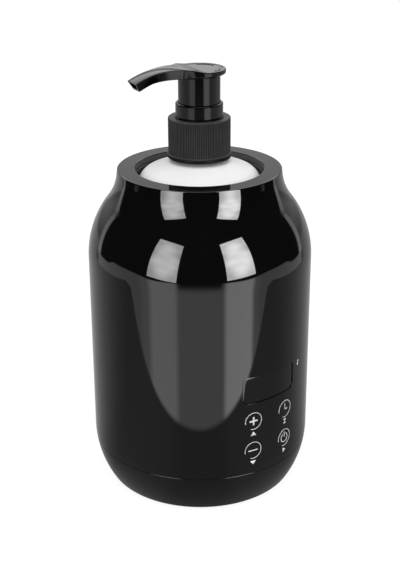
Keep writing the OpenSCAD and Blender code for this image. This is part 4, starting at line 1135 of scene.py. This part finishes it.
def unevenCloth(lamp):
    # the cloth over a soft box is brightest near its middle, with faint slanting folds
    lamp.use_nodes = True
    f = Finish(lamp.node_tree)
    over = f.node("ShaderNodeNewGeometry", out="Parametric")
    slant, scale, share = lamps["folds"]
    folds = f.ramp(f.noise(f.stretch(over, scale, slant), 1.0, 1), 0.3, 0.7)
    midX, midY, reach = lamps["clothMiddle"]
    x, y = f.split(over)[:2]
    middle = 1 - f.ramp((x - midX) * (x - midX) + (y - midY) * (y - midY), 0.0, reach)
    tone = f.mixColour(middle * (1 - share) + folds * share, *[grey(v) for v in lamps["cloth"]])
    f.node("ShaderNodeOutputLight", {}, {"Surface": f.glow(tone)})


def addLamp(name, width, height, level, place, *turns):
    # an area lamp that the camera doesn't see; its energy is its level times pi times its area
    lamp = bpy.data.lights.new(name, "AREA")
    lamp.shape, lamp.size, lamp.size_y = "RECTANGLE", width, height
    lamp.energy = level * math.pi * width * height
    box = bpy.data.objects.new(name, lamp)
    box.matrix_world = placed(place, *turns)
    box.visible_camera = False
    scene.collection.objects.link(box)
    return box


def buildLights():
    # each soft box is a lamp for light and one for reflections; a broad lamp above lights what the gloss doesn't show
    s = lamps
    shown = bpy.data.collections.new("shine_on")  # shows the boxes' reflections, while the pump's flat tops stay dark
    for name in s["shineOn"]:
        shown.objects.link(bpy.data.objects[name])
    for k, (degrees, width, height, middle, roll, bright, gloss) in enumerate(s["boxes"]):
        turns = (view["azimuth"] + degrees, "Z"), (90, "X"), (roll, "Z")
        for part, level, nearer in (("light", bright, 0), ("shine", gloss, s["shineNearer"])):
            place = bearing(degrees) * (s["boxDistance"] - nearer) + [0, 0, middle]
            box = addLamp("soft_box_%d_%s" % (k, part), width, height, level, place, *turns)
            box.visible_diffuse = part == "light"
            if part == "shine":
                unevenCloth(box.data)
                box.light_linking.receiver_collection = shown
    tilt, size = math.radians(s["topTilt"]), s["topSize"]
    place = (bearing(0) * math.sin(tilt) + [0, 0, math.cos(tilt)]) * s["topDistance"] + [0, 0, s["topAim"]]
    top = addLamp("top_light", size, size, s["topBright"], place, (view["azimuth"], "Z"), (s["topTilt"], "X"))
    top.visible_glossy = False


def turned(f, vector):
    # x across and y towards the camera's side, from object or world directions
    c, a = bearing(0), bearing(90)
    x, y, z = f.split(vector)
    return x * float(a[0]) + y * float(a[1]), x * float(c[0]) + y * float(c[1]), z


def angleOf(f, across, towards):
    # degrees from the camera's side, to its right
    return f.node("ShaderNodeMath", {"operation": "ARCTAN2"}, {0: across, 1: towards}) * (180 / math.pi)


def rayKinds(f):
    # whether a ray comes from the camera, and whether from gloss or glass
    seen, glossy, through = f.node("ShaderNodeLightPath", out=("Is Camera Ray", "Is Glossy Ray", "Is Transmission Ray"))
    return seen, glossy.most(through)


ground = {
    "size": 3.0, "drop": 0.05, "white": 0.86, "seen": (0.82, 1.1),  # share and level of plain white for the camera
    "glow": 0.23, "even": (0.03, 0.055), "lit": 0.06, "litZone": (12, 30, 45, 75),  # degrees from the camera's side
    "back": 0.27, "backZone": (70, 150), "left": 0.08, "leftZone": (70, 105),
    "edge": (0.135, 0.02, -0.15), "edgeSoft": 0.004, "side": 0.39, "sideSoft": 0.02, "sideEnd": (122, 127),
}


def buildFloor():
    # white to the camera with the object's soft shadow; in reflections a dim table that ends in front and at the sides
    s = ground
    half, z = s["size"] / 2, -s["drop"] * mm  # just under the feet
    mesh = bpy.data.meshes.new("floor")
    mesh.from_pydata([(-half, -half, z), (half, -half, z), (half, half, z), (-half, half, z)], [], [(0, 1, 2, 3)])
    floor = bpy.data.objects.new("floor", mesh)
    scene.collection.objects.link(floor)
    material, f = newMaterial("floor_white")
    isCamera, isMirrored = rayKinds(f)
    at = f.objectCoords()
    across, towards = turned(f, at)[:2]
    away = angleOf(f, across, towards)
    aside = abs(away)
    reach, skew, bow = s["edge"]
    front = f.ramp(towards - (reach + skew * across + bow * across * across), -s["edgeSoft"], s["edgeSoft"])
    side = f.ramp(abs(across), s["side"] - s["sideSoft"], s["side"] + s["sideSoft"])
    side = side * (1 - f.ramp(aside, *s["sideEnd"]))
    outside = f.ramp((across * across + towards * towards) ** 0.5, *s["even"])  # even right under the object
    glow = s["lit"] * f.between(aside, *s["litZone"]) + s["back"] * f.ramp(aside, *s["backZone"])
    glow = s["glow"] + outside * (glow + s["left"] * f.ramp(-away, *s["leftZone"]))
    clear = f.node("ShaderNodeBsdfTransparent")
    table = f.blend(front.most(side), f.glow(glow), clear)
    tone = f.mixColour(f.noise(at, 40, 2), grey(s["white"]), grey(s["white"] * 0.98))
    paper = f.node("ShaderNodeBsdfDiffuse", {}, {"Color": tone, "Roughness": 0.5})
    share, bright = s["seen"]
    above = f.blend(isMirrored, f.blend(isCamera * share, paper, f.glow(grey(1), bright)), table)
    below = f.node("ShaderNodeNewGeometry", out="Backfacing") * isCamera  # a look from below goes through the floor
    f.node("ShaderNodeOutputMaterial", {}, {"Surface": f.blend(below, above, clear)})
    mesh.materials.append(material)


room = {  # what reflections show: zones in degrees from the camera's side, heights as the rise of the look
    "ambient": 0.55, "dark": 0.02,
    "far": 1.0, "farEnd": (122, 127), "farTop": (-0.19, -0.165), "farRise": 0.055, "riseZone": (45, 75, 94, 106),
    "gap": 0.96, "gapZone": (-26, -19, 19, 26), "gapTop": (-0.40, -0.19), "dim": 0.25, "dimZone": (58, 66),
    "left": 1.0, "leftZone": (-56, -48, -27, -20), "right": 2.0, "rightZone": (22, 29, 52, 58),
    "wall": 0.28, "wallZone": (124, 128), "wallTop": (0.45, 0.75), "rear": 0.18, "rearZone": (135, 175),
    "high": 0.22, "highFrom": (-0.05, 0.15), "highFade": 0.6, "highTo": (0.22, 0.33),
    "band": 0.5, "bandZone": (168, 174), "bandHeights": (0.10, 0.16, 0.235, 0.26),
    "edge": 1.1, "edgeZone": (118, 121), "edgeHeights": (-0.2, -0.15, 0.25, 0.4),
    "ceiling": 1.8, "ceilingFrom": (0.33, 0.42), "ceilingZone": (115, 130), "zenith": (0.86, 0.9),
}


def buildWorld():
    # white to the camera and even for soft light; in reflections a dark room with a lit floor in front,
    # a grey wall behind and a pale ceiling over it
    world = bpy.data.worlds.new("studio")
    world.use_nodes = True
    scene.world = world
    s, f = room, Finish(world.node_tree)
    isCamera, isMirrored = rayKinds(f)
    across, towards, up = turned(f, f.node("ShaderNodeTexCoord", out="Generated"))
    away = angleOf(f, across, towards)
    aside = abs(away)
    left, right, gap = [f.between(away, *s[k]) for k in ("leftZone", "rightZone", "gapZone")]
    far = s["far"] * (1 - s["gap"] * gap * f.ramp(up, *s["gapTop"]) - s["dim"] * f.ramp(aside, *s["dimZone"]))
    far = (far + s["left"] * left + s["right"] * right) * (1 - f.ramp(aside, *s["farEnd"]))
    far = far * (1 - f.ramp(up - s["farRise"] * f.between(aside, *s["riseZone"]), *s["farTop"]))
    back = f.ramp(aside, *s["wallZone"])
    wall = s["wall"] + s["rear"] * f.ramp(aside, *s["rearZone"])
    wall = wall + s["high"] * f.ramp(up, *s["highFrom"]) * (1 - s["highFade"] * f.ramp(up, *s["highTo"]))
    wall = wall + s["band"] * f.ramp(aside, *s["bandZone"]) * f.between(up, *s["bandHeights"])
    wall = back * wall * (1 - f.ramp(up, *s["wallTop"]))
    edge = s["edge"] * f.ramp(aside, *s["edgeZone"]) * (1 - back) * f.between(up, *s["edgeHeights"])
    over = f.ramp(aside, *s["ceilingZone"]).most(f.ramp(up, *s["zenith"]))
    ceiling = s["ceiling"] * f.ramp(up, *s["ceilingFrom"]) * over
    mirrored = s["dark"] + far + wall + edge + ceiling
    level = isCamera + (1 - isCamera) * (isMirrored * mirrored + (1 - isMirrored) * s["ambient"])
    f.node("ShaderNodeOutputWorld", {}, {"Surface": f.node("ShaderNodeBackground", {}, {"Color": level})})


buildLights()
buildFloor()
buildWorld()
print("camera, floor and light done")
